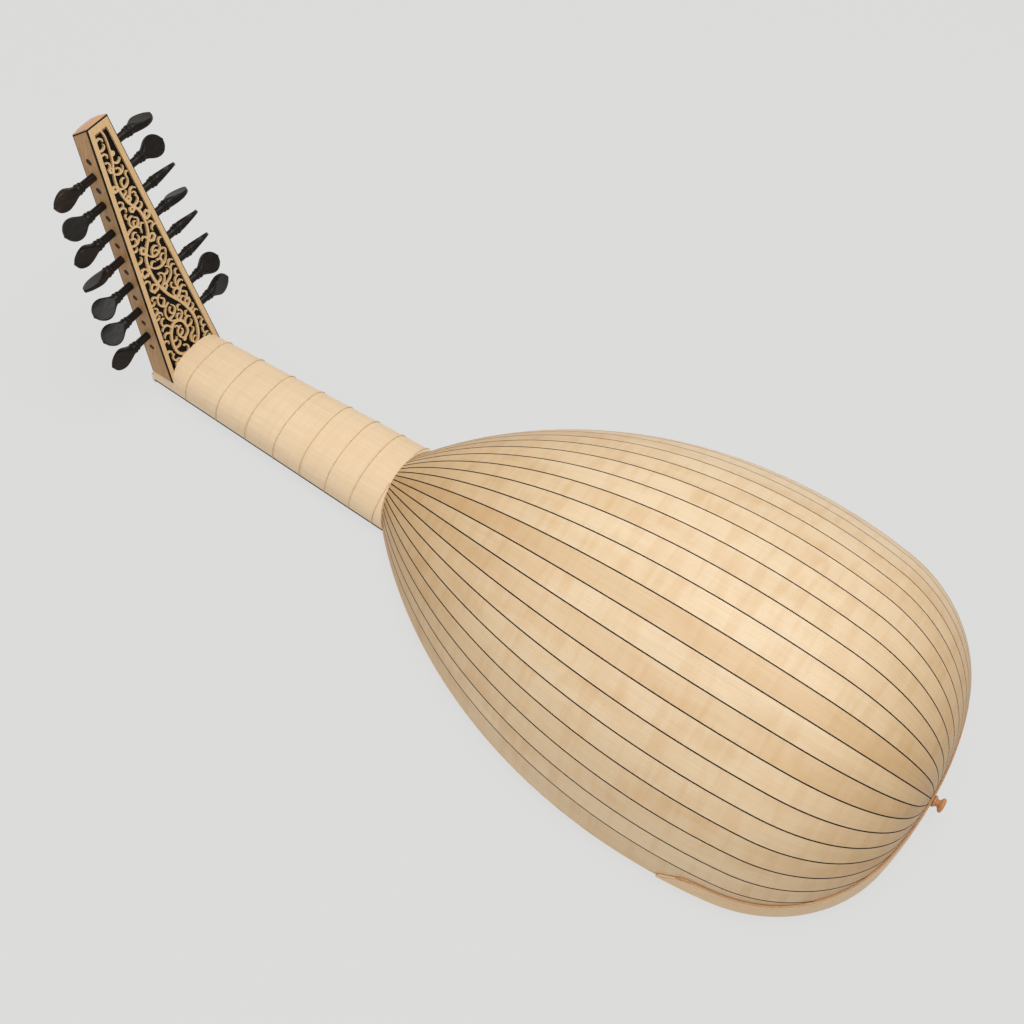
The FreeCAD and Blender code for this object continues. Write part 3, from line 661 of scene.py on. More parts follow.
def ebony(name, tone=1.0):
    made = Material(name, 0.40, 0.24)
    streaks = made.noise(made.coordinates((40.0, 900.0, 900.0)), detail=4.0)
    cloud = made.noise(made.coordinates((25.0, 90.0, 90.0), offset=(3.0, 1.0, 2.0)), detail=2.0)
    streak_share = made.spread(streaks, 0.45, 0.75)
    colour = made.mix(streak_share, rgb(0.0045, 0.0036, 0.0031), rgb(0.015 * tone, 0.0095, 0.0068))
    colour = made.mix(made.spread(cloud, 0.52, 0.72, 0.0, 0.6 * (tone > 1)), colour, rgb(0.060, 0.026, 0.013))
    made.colour(colour)
    made.roughen(streaks, 0.34, 0.48)
    made.bump(streaks, 0.00008, 0.4)
    return made.material


def black_line():
    made = Material("black_line", 0.55, 0.12)
    spots = made.noise(made.coordinates((700.0, 120.0, 700.0)))
    made.colour(made.mix(spots, rgb(0.0025, 0.002, 0.0018), rgb(0.008, 0.0062, 0.005)))
    made.roughen(spots, 0.42, 0.6)
    return made.material


def spruce(name, light, dark, cross=False):
    """Quartered spruce: narrow dark lines along the grain, and faint silk across it."""
    made = Material(name, 0.5, 0.35)
    scale = (30.0, 900.0, 900.0) if cross else (900.0, 30.0, 900.0)
    wobble = made.noise(made.coordinates((3.0, 1.5, 3.0)), detail=2.0)
    fine = made.noise(made.coordinates(scale), detail=3.0)
    axis = "Y" if cross else "X"
    wave = made.tree.nodes.new("ShaderNodeTexWave")
    wave.bands_direction = axis
    wave.inputs["Scale"].default_value = 130.0
    wave.inputs["Distortion"].default_value = 1.4
    wave.inputs["Detail"].default_value = 2.0
    wave.inputs["Detail Scale"].default_value = 0.8
    made.put(wave.inputs["Vector"], made.coordinates((1.0, 0.05, 1.0) if not cross else (0.05, 1.0, 1.0)))
    lines = made.spread(wave.outputs["Fac"], 0.62, 0.98)
    colour = made.mix(made.math("MULTIPLY", lines, 0.55), light, dark)
    colour = made.mix(made.spread(fine, 0.4, 0.75, 0.0, 0.35), colour, dark)
    colour = made.mix(made.spread(wobble, 0.4, 0.7, 0.0, 0.25), colour, scaled(dark, 0.95))
    made.colour(colour)
    made.roughen(fine, 0.46, 0.58)
    made.bump(made.math("SUBTRACT", fine, lines), 0.00008, 0.35)
    return made.material


def smooth_stuff(name, light, dark, roughness, scale, translucent=0.0):
    """Bone or gut: close to one tone, with faint veins and a soft gloss."""
    made = Material(name, roughness, 0.5)
    veins = made.noise(made.coordinates(scale), detail=4.0, distortion=0.5)
    made.colour(made.mix(made.spread(veins, 0.4, 0.7), light, dark))
    made.roughen(veins, roughness - 0.06, roughness + 0.08)
    made.bump(veins, 0.00005, 0.3)
    if translucent:
        made.shader.inputs["Subsurface Weight"].default_value = translucent
        made.shader.inputs["Subsurface Radius"].default_value = (0.002, 0.0015, 0.001)
    return made.material


maple_cream = rgb(0.835, 0.685, 0.490)
maple_honey = rgb(0.600, 0.378, 0.175)
materials = {
    "black_line": black_line(),
    "maple_trim": wood("maple_trim", rgb(0.80, 0.615, 0.40), rgb(0.66, 0.46, 0.26), 0.5, 0.3, 0.12, seed=2.0),
    "maple_neck": wood("maple_neck", rgb(0.808, 0.648, 0.462), rgb(0.70, 0.53, 0.345), 0.45, 0.25, 0.10,
                       ripple=0.6, seed=3.0),
    "spruce_inner": spruce("spruce_inner", rgb(0.74, 0.58, 0.37), rgb(0.56, 0.38, 0.20), cross=True),
    "spruce_top": spruce("spruce_top", rgb(0.76, 0.58, 0.35), rgb(0.55, 0.35, 0.17)),
    "maple_panel": wood("maple_panel", rgb(0.76, 0.545, 0.30), rgb(0.62, 0.41, 0.20), 0.5, 0.3, 0.15,
                        grain="z", seed=7.0),
    "ebony": ebony("ebony"),
    "brown_ebony": ebony("brown_ebony", 1.8),
    "bone": smooth_stuff("bone", rgb(0.80, 0.74, 0.62), rgb(0.70, 0.61, 0.46), 0.32, (300.0, 60.0, 300.0),
                         translucent=0.15),
    "gut": smooth_stuff("gut", rgb(0.70, 0.55, 0.34), rgb(0.56, 0.41, 0.22), 0.34, (500.0, 500.0, 500.0),
                        translucent=0.2),
    "cheek_wood": wood("cheek_wood", rgb(0.56, 0.345, 0.170), rgb(0.38, 0.21, 0.09), 0.8, 0.5, 0.3, grain="z",
                       seed=4.0),
    "red_brown_wood": wood("red_brown_wood", rgb(0.66, 0.35, 0.18), rgb(0.42, 0.175, 0.075), 0.6, 0.4, 0.2,
                           roughness=(0.24, 0.34), seed=5.0),
    "bridge_wood": wood("bridge_wood", rgb(0.26, 0.13, 0.065), rgb(0.14, 0.06, 0.03), 0.7, 0.4, 0.3,
                        grain="x", seed=6.0),
    "loaded_gut": smooth_stuff("loaded_gut", rgb(0.30, 0.13, 0.06), rgb(0.20, 0.08, 0.035), 0.36,
                               (500.0, 500.0, 500.0)),
    "cap_wood": wood("cap_wood", rgb(0.64, 0.40, 0.255), rgb(0.48, 0.265, 0.15), 0.6, 0.4, 0.2, grain="x",
                     roughness=(0.26, 0.36), seed=8.0),
    "line_wood": wood("line_wood", rgb(0.58, 0.34, 0.18), rgb(0.42, 0.22, 0.105), 0.5, 0.3, 0.2, seed=9.0),
}


def finish_cad_nodes():
    """Give each carried-over CAD node the procedural material of its slot."""
    for node in frame["nodes"].values():
        slots = [slot.material.name for slot in node.material_slots]
        for index, name in enumerate(slots):
            node.material_slots[index].material = materials.get(name.split(".")[0], materials["maple_trim"])


# ---- bowl -------------------------------------------------------------------------

# how far each rib's tone lies from cream towards honey, from the treble edge to the bass edge
rib_tones = (
    0.55, 0.35, 0.50, 0.60, 0.40, 0.35, 0.30, 0.55, 0.20, 0.75, 0.20, 0.15, 0.20,
    0.10, 0.20, 0.35, 0.25, 0.45, 0.30, 0.50, 0.35, 0.45, 0.30, 0.50, 0.40,
)
rib_columns = 6
facet_softness = 0.55        # 1 would round each rib fully into the bowl


def rib_rings(rib, treble_edge, bass_edge, treble_inner, bass_inner):
    """Closed sections of a rib from the tail to the neck, and the (along, across) of each point."""
    rings = []
    grain = []
    along = 0.0
    previous = None
    for a, b, c, d in zip(treble_edge, bass_edge, treble_inner, bass_inner):
        width = (b - a).length
        outward = ((a - c) + (b - d)).normalized()
        middle = (a + b) / 2
        if previous is not None:
            along += (middle - previous).length
        previous = middle
        bulge = facet_softness * width ** 2 / (8 * max(half_width(min(middle.y, body_length)), 12.0))
        ring = []
        for column in range(rib_columns + 1):
            share = column / rib_columns
            ring.append(a.lerp(b, share) + outward * (bulge * 4 * share * (1 - share)))
        ring += [d, c]
        rings.append(ring)
        across = [width * column / rib_columns for column in range(rib_columns + 1)]
        across += [width + rib_thickness, -rib_thickness]
        grain += [(along * MM + rib * 0.913, (v - width / 2) * MM + rib * 0.317) for v in across]
    return rings, grain


def make_ribs():
    for rib in range(1, rib_count + 1):
        edges = [
            seam_points(rib - 1, rib, 0.0),
            seam_points(rib, rib, 0.0),
            seam_points(rib - 1, rib, rib_thickness),
            seam_points(rib, rib, rib_thickness),
        ]
        rings, grain = rib_rings(rib, *edges)
        points, faces = joined_lofts([rings])
        name = "rib_%02d" % rib
        tone = rib_tones[rib - 1]
        light = rgb(*(a + (b - a) * tone * 0.55 for a, b in zip(maple_cream[:3], maple_honey[:3])))
        material = wood(
            "maple_rib_%02d" % rib, light, scaled(light, 0.86), 0.55, 0.34 + 0.33 * tone, 0.20,
            rib_layer=True, ripple=0.50, seed=rib * 1.37, patch=scaled(maple_honey, 1.02),
            ends=(grain[0][0], grain[-1][0] - grain[0][0]),
        )
        mesh = build_mesh("maple_" + name, points, faces, 50.0, grain)
        add_piece("maple_" + name, mesh, MAIN_BODY, material, [name])


def make_rib_lines():
    lofts = []
    for boundary in range(1, rib_count):
        left = seam_points(boundary, boundary, 0.0)
        right = seam_points(boundary, boundary + 1, 0.0)
        left_in = seam_points(boundary, boundary, rib_thickness)
        right_in = seam_points(boundary, boundary + 1, rib_thickness)
        lofts.append([list(ring) for ring in zip(left, right, right_in, left_in)])
    points, faces = joined_lofts(lofts)
    mesh = build_mesh("rib_lines", points, faces)
    add_piece("rib_lines", mesh, MAIN_BODY, materials["black_line"], ["rib_spacers"])


# ---- pegs -------------------------------------------------------------------------

# (distance from the cheek, radius) along the turned part of a peg, then along its head
peg_turning = (
    (0.0, 3.0), (12.0, 3.15), (12.4, 3.3), (12.8, 3.75), (13.4, 3.95), (14.1, 3.75), (14.4, 3.45),
    (15.0, 3.5), (15.4, 4.0), (16.2, 4.35), (17.0, 4.3), (17.5, 4.0), (18.0, 3.95),
)
peg_head_outline = (
    (19.5, 4.25), (21.5, 5.1), (23.5, 6.2), (25.5, 7.3), (27.5, 8.15), (29.5, 8.6), (31.5, 8.6), (33.5, 8.15),
    (35.3, 7.3), (36.9, 6.1), (38.2, 4.7), (39.1, 3.2), (39.6, 2.0),
)
peg_pip = ((39.8, 1.35), (40.1, 1.25), (40.4, 0.95), (40.5, 0.5))
peg_sides = 40
unflattened = 20.0           # half thickness that leaves a section round
brown_pegs = ("peg_treble_7", "peg_treble_4")


def head_half_thickness(distance):
    """Half thickness of a peg's head: a wedge, thinnest near its tip and slightly hollow."""
    share = max(0.0, min(1.0, (distance - 18.5) / 20.0))
    return 1.25 + 3.0 * (1 - share) ** 1.45


def peg_profile():
    """(distance from the cheek, radius, half thickness) along a peg outside the pegbox."""
    stations = [(x, r, unflattened) for x, r in peg_turning]
    path = smooth_path([(x, r) for x, r in peg_turning[-1:] + peg_head_outline], 3)
    stations += [(x, r, head_half_thickness(x)) for x, r in path[1:]]
    stations += [(x, r, unflattened) for x, r in peg_pip]
    return stations


def make_peg(name, joint):
    """Ebony peg: tapered shank, turned rings, and a pear-shaped head flattened on both sides."""
    side = 1 if joint["axis"][0] > 0 else -1
    low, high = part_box(name)
    tip = (high.x if side > 0 else -low.x) / MM
    far = (-low.x if side > 0 else high.x) / MM
    cheek = tip - peg_tip
    number = int(name.rsplit("_", 1)[1])
    turns = bass_head_turns if side > 0 else treble_head_turns
    turn = math.radians(pegbox_angle - 90 + turns[number - 1])
    stations = [(-cheek - far, peg_radius_head_side - peg_taper * (cheek + far), unflattened)]
    stations += [(-cheek, peg_radius_head_side - peg_taper * cheek, unflattened)]
    stations += peg_profile()
    axis = Vector(joint["pos_m"]) / MM - Vector((0, row_y, row_z))
    ring_list = []
    for distance, radius, thickness in stations:
        ring = []
        for step in range(peg_sides):
            angle = 2 * math.pi * step / peg_sides
            wide = radius * math.cos(angle)
            thick = radius * math.sin(angle)
            limit = (abs(thick) ** -9 + thickness ** -9) ** (-1 / 9) if abs(thick) > 1e-6 else 0.0
            thick = math.copysign(limit, thick)
            ring.append(Vector((
                side * (cheek + distance),
                axis.y + wide * math.cos(turn) - thick * math.sin(turn),
                axis.z + wide * math.sin(turn) + thick * math.cos(turn),
            )))
        ring_list.append(ring)
    points, faces = joined_lofts([ring_list])
    material = materials["brown_ebony" if name in brown_pegs else "ebony"]
    mesh = build_mesh("turned_" + name, points, faces, 35.0)
    add_piece("turned_" + name, mesh, joint["child"], material, [name])


def make_pegs():
    for joint in frame["joints"]:
        make_peg(joint["child"][:-len("_body")], joint)


# ---- pierced back of the pegbox ---------------------------------------------------

# opening of the pierced scroll, along the pegbox, and the grid that it is worked out on
window_foot = 5.2
window_head = 215.5
scroll_cell = 0.3
# main stem of the pierced scroll: (along the pegbox, share of the half width of the opening)
stem_waves = (
    (208.0, 0.25), (192.0, 0.0), (176.0, -0.50), (158.0, -0.25), (142.0, 0.42), (124.0, 0.30), (107.0, -0.42),
    (88.0, -0.40), (70.0, -0.05), (53.0, 0.44), (34.0, 0.66), (16.0, 0.42), (11.5, -0.10), (19.0, -0.56),
    (34.0, -0.62), (44.0, -0.30), (40.0, 0.10), (29.0, 0.16), (25.0, -0.10),
)
# leaves off the stem: (place along the pegbox, hand, size)
scroll_leaves = (
    (196.0, -1, 2.2), (184.0, 1, 3.0), (171.0, 1, 4.0), (156.0, -1, 3.4), (150.0, 1, 3.6), (136.0, -1, 5.2),
    (120.0, -1, 5.4), (112.0, 1, 4.6), (98.0, 1, 6.4), (82.0, 1, 6.0), (76.0, -1, 4.4), (62.0, -1, 6.8),
    (50.0, -1, 5.0),
)


def in_pegbox(x, along, out):
    """Body-frame point from pegbox places: across, along its back, out from its back."""
    return pegbox_origin + along_pegbox * along + out_of_pegbox * out + Vector((x, 0, 0))


def pegbox_half_width(along):
    share = along / pegbox_length
    return pegbox_half_width_base + (pegbox_half_width_top - pegbox_half_width_base) * share


def curl(start, heading, length, turn, tightening=1.5, steps=16):
    """Path that starts along a heading and turns by an angle, faster towards its end."""
    path = [np.array(start, float)]
    for step in range(steps):
        share = (step + 0.5) / steps
        angle = heading + turn * share ** tightening
        path.append(path[-1] + length / steps * np.array([math.cos(angle), math.sin(angle)]))
    return path


def heading_of(path, index):
    span = path[min(index + 1, len(path) - 1)] - path[max(index - 1, 0)]
    return math.atan2(span[1], span[0])


def taper(count, start, middle, end):
    """Half widths that go from start through middle to end."""
    shares = [step / (count - 1) for step in range(count)]
    return [
        start + (middle - start) * s * 2 if s < 0.5 else middle + (end - middle) * (s - 0.5) * 2
        for s in shares
    ]


def add_leaf(field, start, heading, size, hand):
    """Leaf that curls over to one hand, with lobes on its outer side."""
    path = curl(start, heading, size * 3.0, hand * math.radians(330), 1.25, 30)
    field.stroke(path, taper(len(path), 0.75, 0.70, 0.42))
    field.stroke([path[-1], path[-1] + 0.05], [0.85, 0.85])
    for place, reach in ((4, 0.50), (9, 0.62), (14, 0.60), (19, 0.45)):
        lobe_heading = heading_of(path, place) - hand * math.radians(28)
        lobe = curl(path[place], lobe_heading, size * reach, hand * math.radians(100), 1.6, 8)
        field.stroke(lobe, taper(len(lobe), 0.45, 0.72, 0.22))


def fill_with_tendrils(field, widest_gap, most):
    """Grow short curling leaves from the wood into the largest gaps left in the scroll."""
    for number in range(most):
        spot = np.unravel_index(np.argmax(field.value), field.value.shape)
        gap = float(field.value[spot])
        if gap < widest_gap:
            break
        centre = field.low + field.cell * np.array(spot)
        turns = np.arange(24) * math.pi / 12
        reach = gap + 0.6
        best = None
        for turn in turns:
            probe = centre + reach * np.array([math.cos(turn), math.sin(turn)])
            i, j = np.clip(((probe - field.low) / field.cell).astype(int), 0, np.array(field.value.shape) - 1)
            rank = field.value[i, j] + 0.25 * math.cos(turn)
            if best is None or rank < best[0]:
                best = (rank, turn, probe)
        _, turn, root = best
        hand = 1 if number % 2 else -1
        heading = turn + math.pi - hand * math.radians(34)
        path = curl(root, heading, gap * 2.15, hand * math.radians(150), 1.5, 12)
        thick = min(0.70, 0.28 + gap * 0.10)
        field.stroke(path, taper(len(path), thick * 0.8, thick, thick * 0.55), 0.35)


def make_pegbox_back():
    """Maple panel pierced with a leafy scroll that winds up between its edges."""
    field = PiercedField((0.0, -26.0), (218.0, 26.0), scroll_cell)
    slope = (pegbox_half_width_base - pegbox_half_width_top) / pegbox_length
    inside = pegbox_half_width_base - panel_border - slope * field.x - np.abs(field.y)
    field.value = np.minimum(inside, np.minimum(field.x - window_foot, window_head - field.x))

    def room(along):
        return pegbox_half_width(along) - panel_border

    corners = [(window_head + 1, 0.0)]
    corners += [(along, share * room(along)) for along, share in stem_waves]
    stem = smooth_path(corners, 10)
    widths = [0.55 + 0.5 * min(1.0, (217 - point[0]) / 120) for point in stem]
    widths[-20:] = [widths[-21] * (1 - 0.4 * step / 20) for step in range(20)]
    field.stroke(stem, widths)
    field.stroke([stem[-1], stem[-1] + 0.05], [1.7, 1.7])
    for along, side, size in scroll_leaves:
        index = min(range(len(stem) - 60), key=lambda k: abs(stem[k][0] - along))
        add_leaf(field, stem[index], heading_of(stem, index) + side * math.radians(30), size, side)
    fill_with_tendrils(field, widest_gap=2.8, most=120)
    holes = field.contours(0.35)

    reach = pegbox_length - end_cap_thickness - edge_line
    foot_half = pegbox_half_width(0) - edge_line
    head_half = pegbox_half_width(reach) - edge_line
    outline = [(0.0, -foot_half), (reach, -head_half), (reach, head_half), (0.0, foot_half)]

    def place(along, x, depth):
        return in_pegbox(x, along + (depth + back_thickness / 2) / math.tan(pegbox_tilt) * (along < 1.0),
                         depth + back_thickness / 2)

    mesh = pierced_mesh("pegbox_scroll_back", [np.array(p) for p in outline], holes, back_thickness, place)
    add_piece("pegbox_scroll_back", mesh, MAIN_BODY, materials["maple_panel"], ["pegbox_back"])


# ---- frets and strings ------------------------------------------------------------

def crown_at_joint():
    """y and z where the bowl's crown meets the leaning joint face."""
    def before_joint(y):
        return y < body_length + neck_joint_lean * bowl_height(0, y)

    y = bisect(before_joint, body_length - 20, body_length + 30)
    return y, bowl_height(0, y)


crown_y, crown_z = crown_at_joint()


def neck_loop(y, grow):
    """Points round the neck's back, from the bass edge to the treble edge."""
    share = (y - body_length) / neck_joint_to_nut
    width = neck_half_width_joint + (neck_half_width_nut - neck_half_width_joint) * share + grow
    depth = crown_z + (neck_depth_nut - crown_z) * (y - crown_y) / (nut_y - crown_y) + grow
    power = 2.0 / (neck_roundness_joint + (neck_roundness_nut - neck_roundness_joint) * share)
    points = []
    for step in range(61):
        turn = math.pi * step / 60
        across = math.cos(turn)
        x = width * math.copysign(abs(across) ** power, across)
        points.append(Vector((x, y, depth * max(math.sin(turn), 0.0) ** power)))
    return points


def make_frets():
    """Gut frets tied round the neck, each with a small knot on the bass edge."""
    radius = fret_radius
    splines = []
    front = -fingerboard_thickness - radius
    for number in range(1, fret_count + 1):
        y = nut_y - string_length * (1 - 2 ** (-number / 12.0))
        loop = neck_loop(y, radius)
        width = loop[0].x
        over = [
            Vector((-width, y, front + 0.7)), Vector((-width + 0.6, y, front)), Vector((0, y, front)),
            Vector((width - 0.6, y, front)), Vector((width, y, front + 0.7)),
        ]
        past_joint = [point for point in loop if point.y > body_length + neck_joint_lean * point.z + 0.4]
        if len(past_joint) < len(loop):
            treble = [point for point in past_joint if point.x < 0]
            bass = [point for point in past_joint if point.x > 0]
            splines.append(([(point, radius) for point in treble + over + bass], False))
        else:
            splines.append(([(point, radius) for point in loop + over], True))
        knot = [
            Vector((width + 0.3 + 0.5 * math.cos(turn), y + 0.8 * math.sin(turn), 0.6 + 0.9 * turn / math.pi))
            for turn in [step * math.pi / 5 for step in range(16)]
        ]
        splines.append(([(point, radius * 0.9) for point in knot], False))
    curve = tube_curve("tied_frets", splines)
    add_piece("tied_frets", curve, MAIN_BODY, materials["gut"], ["frets"])


def string_places():
    """Each string as (diameter, x at the bridge, x at the nut), from treble to bass."""
    places = []
    courses = len(course_diameters)
    for course in range(1, courses + 1):
        share = (course - 1) / (courses - 1) - 0.5
        diameter = course_diameters[course - 1]
        bridge_x = share * course_span_bridge
        nut_x = share * course_span_nut
        if course == 1:
            places.append((diameter, bridge_x, nut_x))
            continue
        second = diameter * octave_ratio if course >= octave_from_course else diameter
        places.append((diameter, bridge_x - pair_gap_bridge / 2, nut_x - pair_gap_nut / 2))
        places.append((second, bridge_x + pair_gap_bridge / 2, nut_x + pair_gap_nut / 2))
    return places


def peg_of_string(order):
    """Name of a string's peg: outer strings go to the pegs nearest the nut."""
    if order < 7:
        return "peg_treble_%d" % (order + 1)
    return "peg_bass_%d" % (15 - order)


def make_strings():
    """Plain gut trebles and darker loaded basses, each tied at the bridge and wound on its peg."""
    joints = {joint["child"][:-len("_body")]: joint for joint in frame["joints"]}
    groups = {"treble_strings": [], "bass_strings": []}
    for order, (diameter, bridge_x, nut_x) in enumerate(string_places()):
        radius = diameter / 2
        peg = peg_of_string(order)
        joint = joints[peg]
        axis = Vector(joint["pos_m"]) / MM - Vector((0, row_y, row_z))
        along = (axis - pegbox_origin).dot(along_pegbox)
        reach = pegbox_half_width(along) - cheek_thickness - 2.5
        peg_x = nut_x * reach / (course_span_nut / 2 + pair_gap_nut / 2)
        side = 1 if joint["axis"][0] > 0 else -1
        shank = peg_radius_head_side - peg_taper * (pegbox_half_width(along) - side * peg_x)
        wind = shank + radius + winding_gap
        slope = (nut_x - bridge_x) / string_length
        top = -fingerboard_thickness - nut_height - radius - 0.05
        anchor = Vector((bridge_x, bridge_front_y, -soundboard_thickness - string_height_bridge))
        nut_front = Vector((nut_x, nut_y, top))
        nut_back = Vector((nut_x + slope * nut_thickness, nut_y + nut_thickness - 0.6, top + 0.05))
        corner = Vector((nut_x + slope * nut_thickness, nut_y + nut_thickness + radius + 0.2, top + 0.9))
        rise, run = axis.z - corner.z, axis.y - corner.y
        lean = math.atan2(rise, run) - math.asin(wind / math.hypot(rise, run))
        length = math.sqrt(rise ** 2 + run ** 2 - wind ** 2)
        end = Vector((peg_x, corner.y + length * math.cos(lean), corner.z + length * math.sin(lean)))
        lip = Vector((bridge_x, bridge_front_y + radius, -soundboard_thickness - string_height_bridge - 0.55))
        step_top = -soundboard_thickness - bridge_height + bridge_step
        over = Vector((bridge_x, bridge_front_y - 0.9, step_top - radius))
        tie = [over + Vector((0, -1.6, 0)), over, lip, anchor]
        group = groups["treble_strings" if order < 9 else "bass_strings"]
        group.append(([(point, radius) for point in tie + [nut_front, nut_back, corner, end]], False))
        coil = []
        start = math.atan2(end.z - axis.z, end.y - axis.y)
        centre_pull = -1 if peg_x > 0 else 1
        for step in range(76):
            turn = start + 2 * math.pi * step / 15
            coil.append(Vector((
                peg_x + centre_pull * step / 15 * (diameter + 0.12),
                axis.y + wind * math.cos(turn),
                axis.z + wind * math.sin(turn),
            )))
        curve = tube_curve("winding_" + peg, [([(point, radius) for point in coil], False)], 2)
        finish = materials["gut" if order < 9 else "loaded_gut"]
        add_piece("winding_" + peg, curve, joint["child"], finish)
    for name, splines in groups.items():
        finish = materials["gut" if name == "treble_strings" else "loaded_gut"]
        replaced = ["strings"] if name == "treble_strings" else []
        add_piece(name, tube_curve(name, splines), MAIN_BODY, finish, replaced)


# ---- soundboard and bridge --------------------------------------------------------

rose_radius = 44.0
rose_cell = 0.4
rose_count = 12
# circles of the rose: (place from its centre, radius, half width, turn against the others)
rose_circles = ((20.5, 15.2, 0.85, 0.0), (33.5, 9.5, 0.8, math.pi / rose_count))
rose_rings = (12.5, 28.0)
petal_radius = 2.9
# black rings round the rose: (radius, half width)
inlaid_rings = ((46.2, 0.35), (48.4, 0.6), (50.6, 0.35))


def circle(x, y, radius, start=0.0, end=2 * math.pi, steps=48):
    return [
        np.array([x + radius * math.cos(start + (end - start) * step / steps),
                  y + radius * math.sin(start + (end - start) * step / steps)])
        for step in range(steps + 1)
    ]


def make_soundboard():
    """Spruce soundboard with a rose cut through it: interlaced circles within a carved ring."""
    centre = rose_place * body_length
    reach = rose_radius + 3.0
    field = PiercedField((-reach, centre - reach), (reach, centre + reach), rose_cell)
    field.value = rose_radius - np.hypot(field.x, field.y - centre)
    for step in range(rose_count):
        turn = 2 * math.pi * step / rose_count
        for middle, radius, half, shift in rose_circles:
            place = turn + shift
            path = circle(middle * math.sin(place), centre + middle * math.cos(place), radius)
            field.stroke(path, [half] * len(path), 0.4)
        if step % 2 == 0:
            petal = (petal_radius * math.sin(turn), centre + petal_radius * math.cos(turn))
            path = circle(*petal, petal_radius, steps=20)
            field.stroke(path, [0.5] * len(path), 0.3)
    for radius in rose_rings:
        path = circle(0, centre, radius)
        field.stroke(path, [0.7] * len(path), 0.4)
    holes = field.contours(0.5)
    end = heading_at_y(body_length)
    edge = [outline_point(end * step / 150) for step in range(151)]
    outline = [np.array([width, y]) for width, y in edge]
    outline += [np.array([-width, y]) for width, y in edge[:0:-1]]
    mesh = pierced_mesh(
        "spruce_soundboard", outline, holes, soundboard_thickness,
        lambda x, y, depth: (x, y, depth - soundboard_thickness / 2),
    )
    add_piece("spruce_soundboard", mesh, MAIN_BODY, materials["spruce_top"], ["soundboard"])
    rings = []
    for radius, half in inlaid_rings:
        depth = -soundboard_thickness + half * 0.55
        rings.append(([(Vector((x, y, depth)), half) for x, y in circle(0, centre, radius)[:-1]], True))
    curve = tube_curve("rose_rings", rings)
    add_piece("rose_rings", curve, MAIN_BODY, materials["black_line"])


def make_bridge():
    """Pearwood bridge: a bar with a low lip in front for the strings, falling away to its ends."""
    half = bridge_length / 2
    stations = ((0.0, 1.0, 1.0), (0.78, 1.0, 1.0), (0.81, 0.97, 0.90), (0.84, 0.86, 0.66), (0.88, 0.70, 0.46),
                (0.92, 0.62, 0.36), (0.96, 0.46, 0.28), (0.985, 0.28, 0.22), (1.0, 0.10, 0.14))
    mirrored = [(-share, wide, tall) for share, wide, tall in stations[:0:-1]] + list(stations)
    middle = bridge_front_y - bridge_width / 2
    profile = (
        (7.0, 0.0), (7.0, 5.5), (6.7, 5.8), (4.2, 5.8), (4.0, 6.1), (4.0, 7.8), (3.8, 8.0),
        (-4.6, 8.0), (-5.2, 7.7), (-6.6, 5.2), (-7.0, 4.2), (-7.0, 0.0),
    )
    rings = []
    for share, wide, tall in mirrored:
        rings.append([
            Vector((share * half, middle + y * wide, -soundboard_thickness - height * tall))
            for y, height in profile
        ])
    points, faces = joined_lofts([rings])
    mesh = build_mesh("carved_bridge", points, faces, 30.0)
    add_piece("carved_bridge", mesh, MAIN_BODY, materials["bridge_wood"], ["bridge"])


# ---- small turned and fitted pieces -----------------------------------------------

button_profile = (
    (-6.0, 2.35), (-0.2, 2.35), (-0.1, 4.3), (0.7, 4.5), (1.4, 4.1), (2.2, 3.1), (3.2, 2.65), (4.1, 2.9),
    (4.7, 4.0), (5.2, 5.0), (6.0, 5.5), (6.9, 5.45), (7.6, 4.9), (8.0, 3.6), (8.2, 1.8), (8.25, 0.5),
)


def make_strap_button():
    rings = []
    for distance, radius in button_profile:
        rings.append([
            Vector((
                button_offset + radius * math.cos(2 * math.pi * step / 36),
                -strip_glue_gap - strip_thickness - distance,
                button_height + radius * math.sin(2 * math.pi * step / 36),
            ))
            for step in range(36)
        ])
    points, faces = joined_lofts([rings])
    mesh = build_mesh("turned_button", points, faces, 50.0)
    finish = materials["red_brown_wood"]
    add_piece("turned_button", mesh, MAIN_BODY, finish, ["strap_button"])


def make_end_cap():
    """Slightly domed cap over the top of the pegbox, thin at its edges."""
    columns, rows = 14, 10
    rings = []
    for row in range(rows + 1):
        out = pegbox_depth_top * row / rows
        under = pegbox_length - end_cap_thickness - pegbox_top_slope * out / pegbox_depth_top
        half = pegbox_half_width(under)
        low = []
        high = []
        for column in range(columns + 1):
            u = 2 * column / columns - 1
            v = 2 * row / rows - 1
            rise = cap_edge + cap_crown * (1 - u ** 4) * (1 - v ** 4)
            low.append(in_pegbox(u * half, under, out))
            high.append(in_pegbox(u * half, under + rise, out))
        rings.append(low + high[::-1])
    points, faces = joined_lofts([rings])
    mesh = build_mesh("domed_end_cap", points, faces, 40.0)
    add_piece("domed_end_cap", mesh, MAIN_BODY, materials["cap_wood"], ["pegbox_end_cap"])


def make_cap_line():
    """Black line under the end cap, a little proud of the pegbox's sides."""
    rings = []
    for out in (-cap_line_proud, pegbox_depth_top + cap_line_proud):
        top = pegbox_length - end_cap_thickness - pegbox_top_slope * out / pegbox_depth_top
        half = pegbox_half_width(top) + cap_line_proud
        rings.append([
            in_pegbox(-half, top - cap_line_height, out), in_pegbox(half, top - cap_line_height, out),
            in_pegbox(half, top, out), in_pegbox(-half, top, out),
        ])
    points, faces = joined_lofts([rings])
    mesh = build_mesh("cap_line", points, faces)
    add_piece("cap_line", mesh, MAIN_BODY, materials["black_line"])


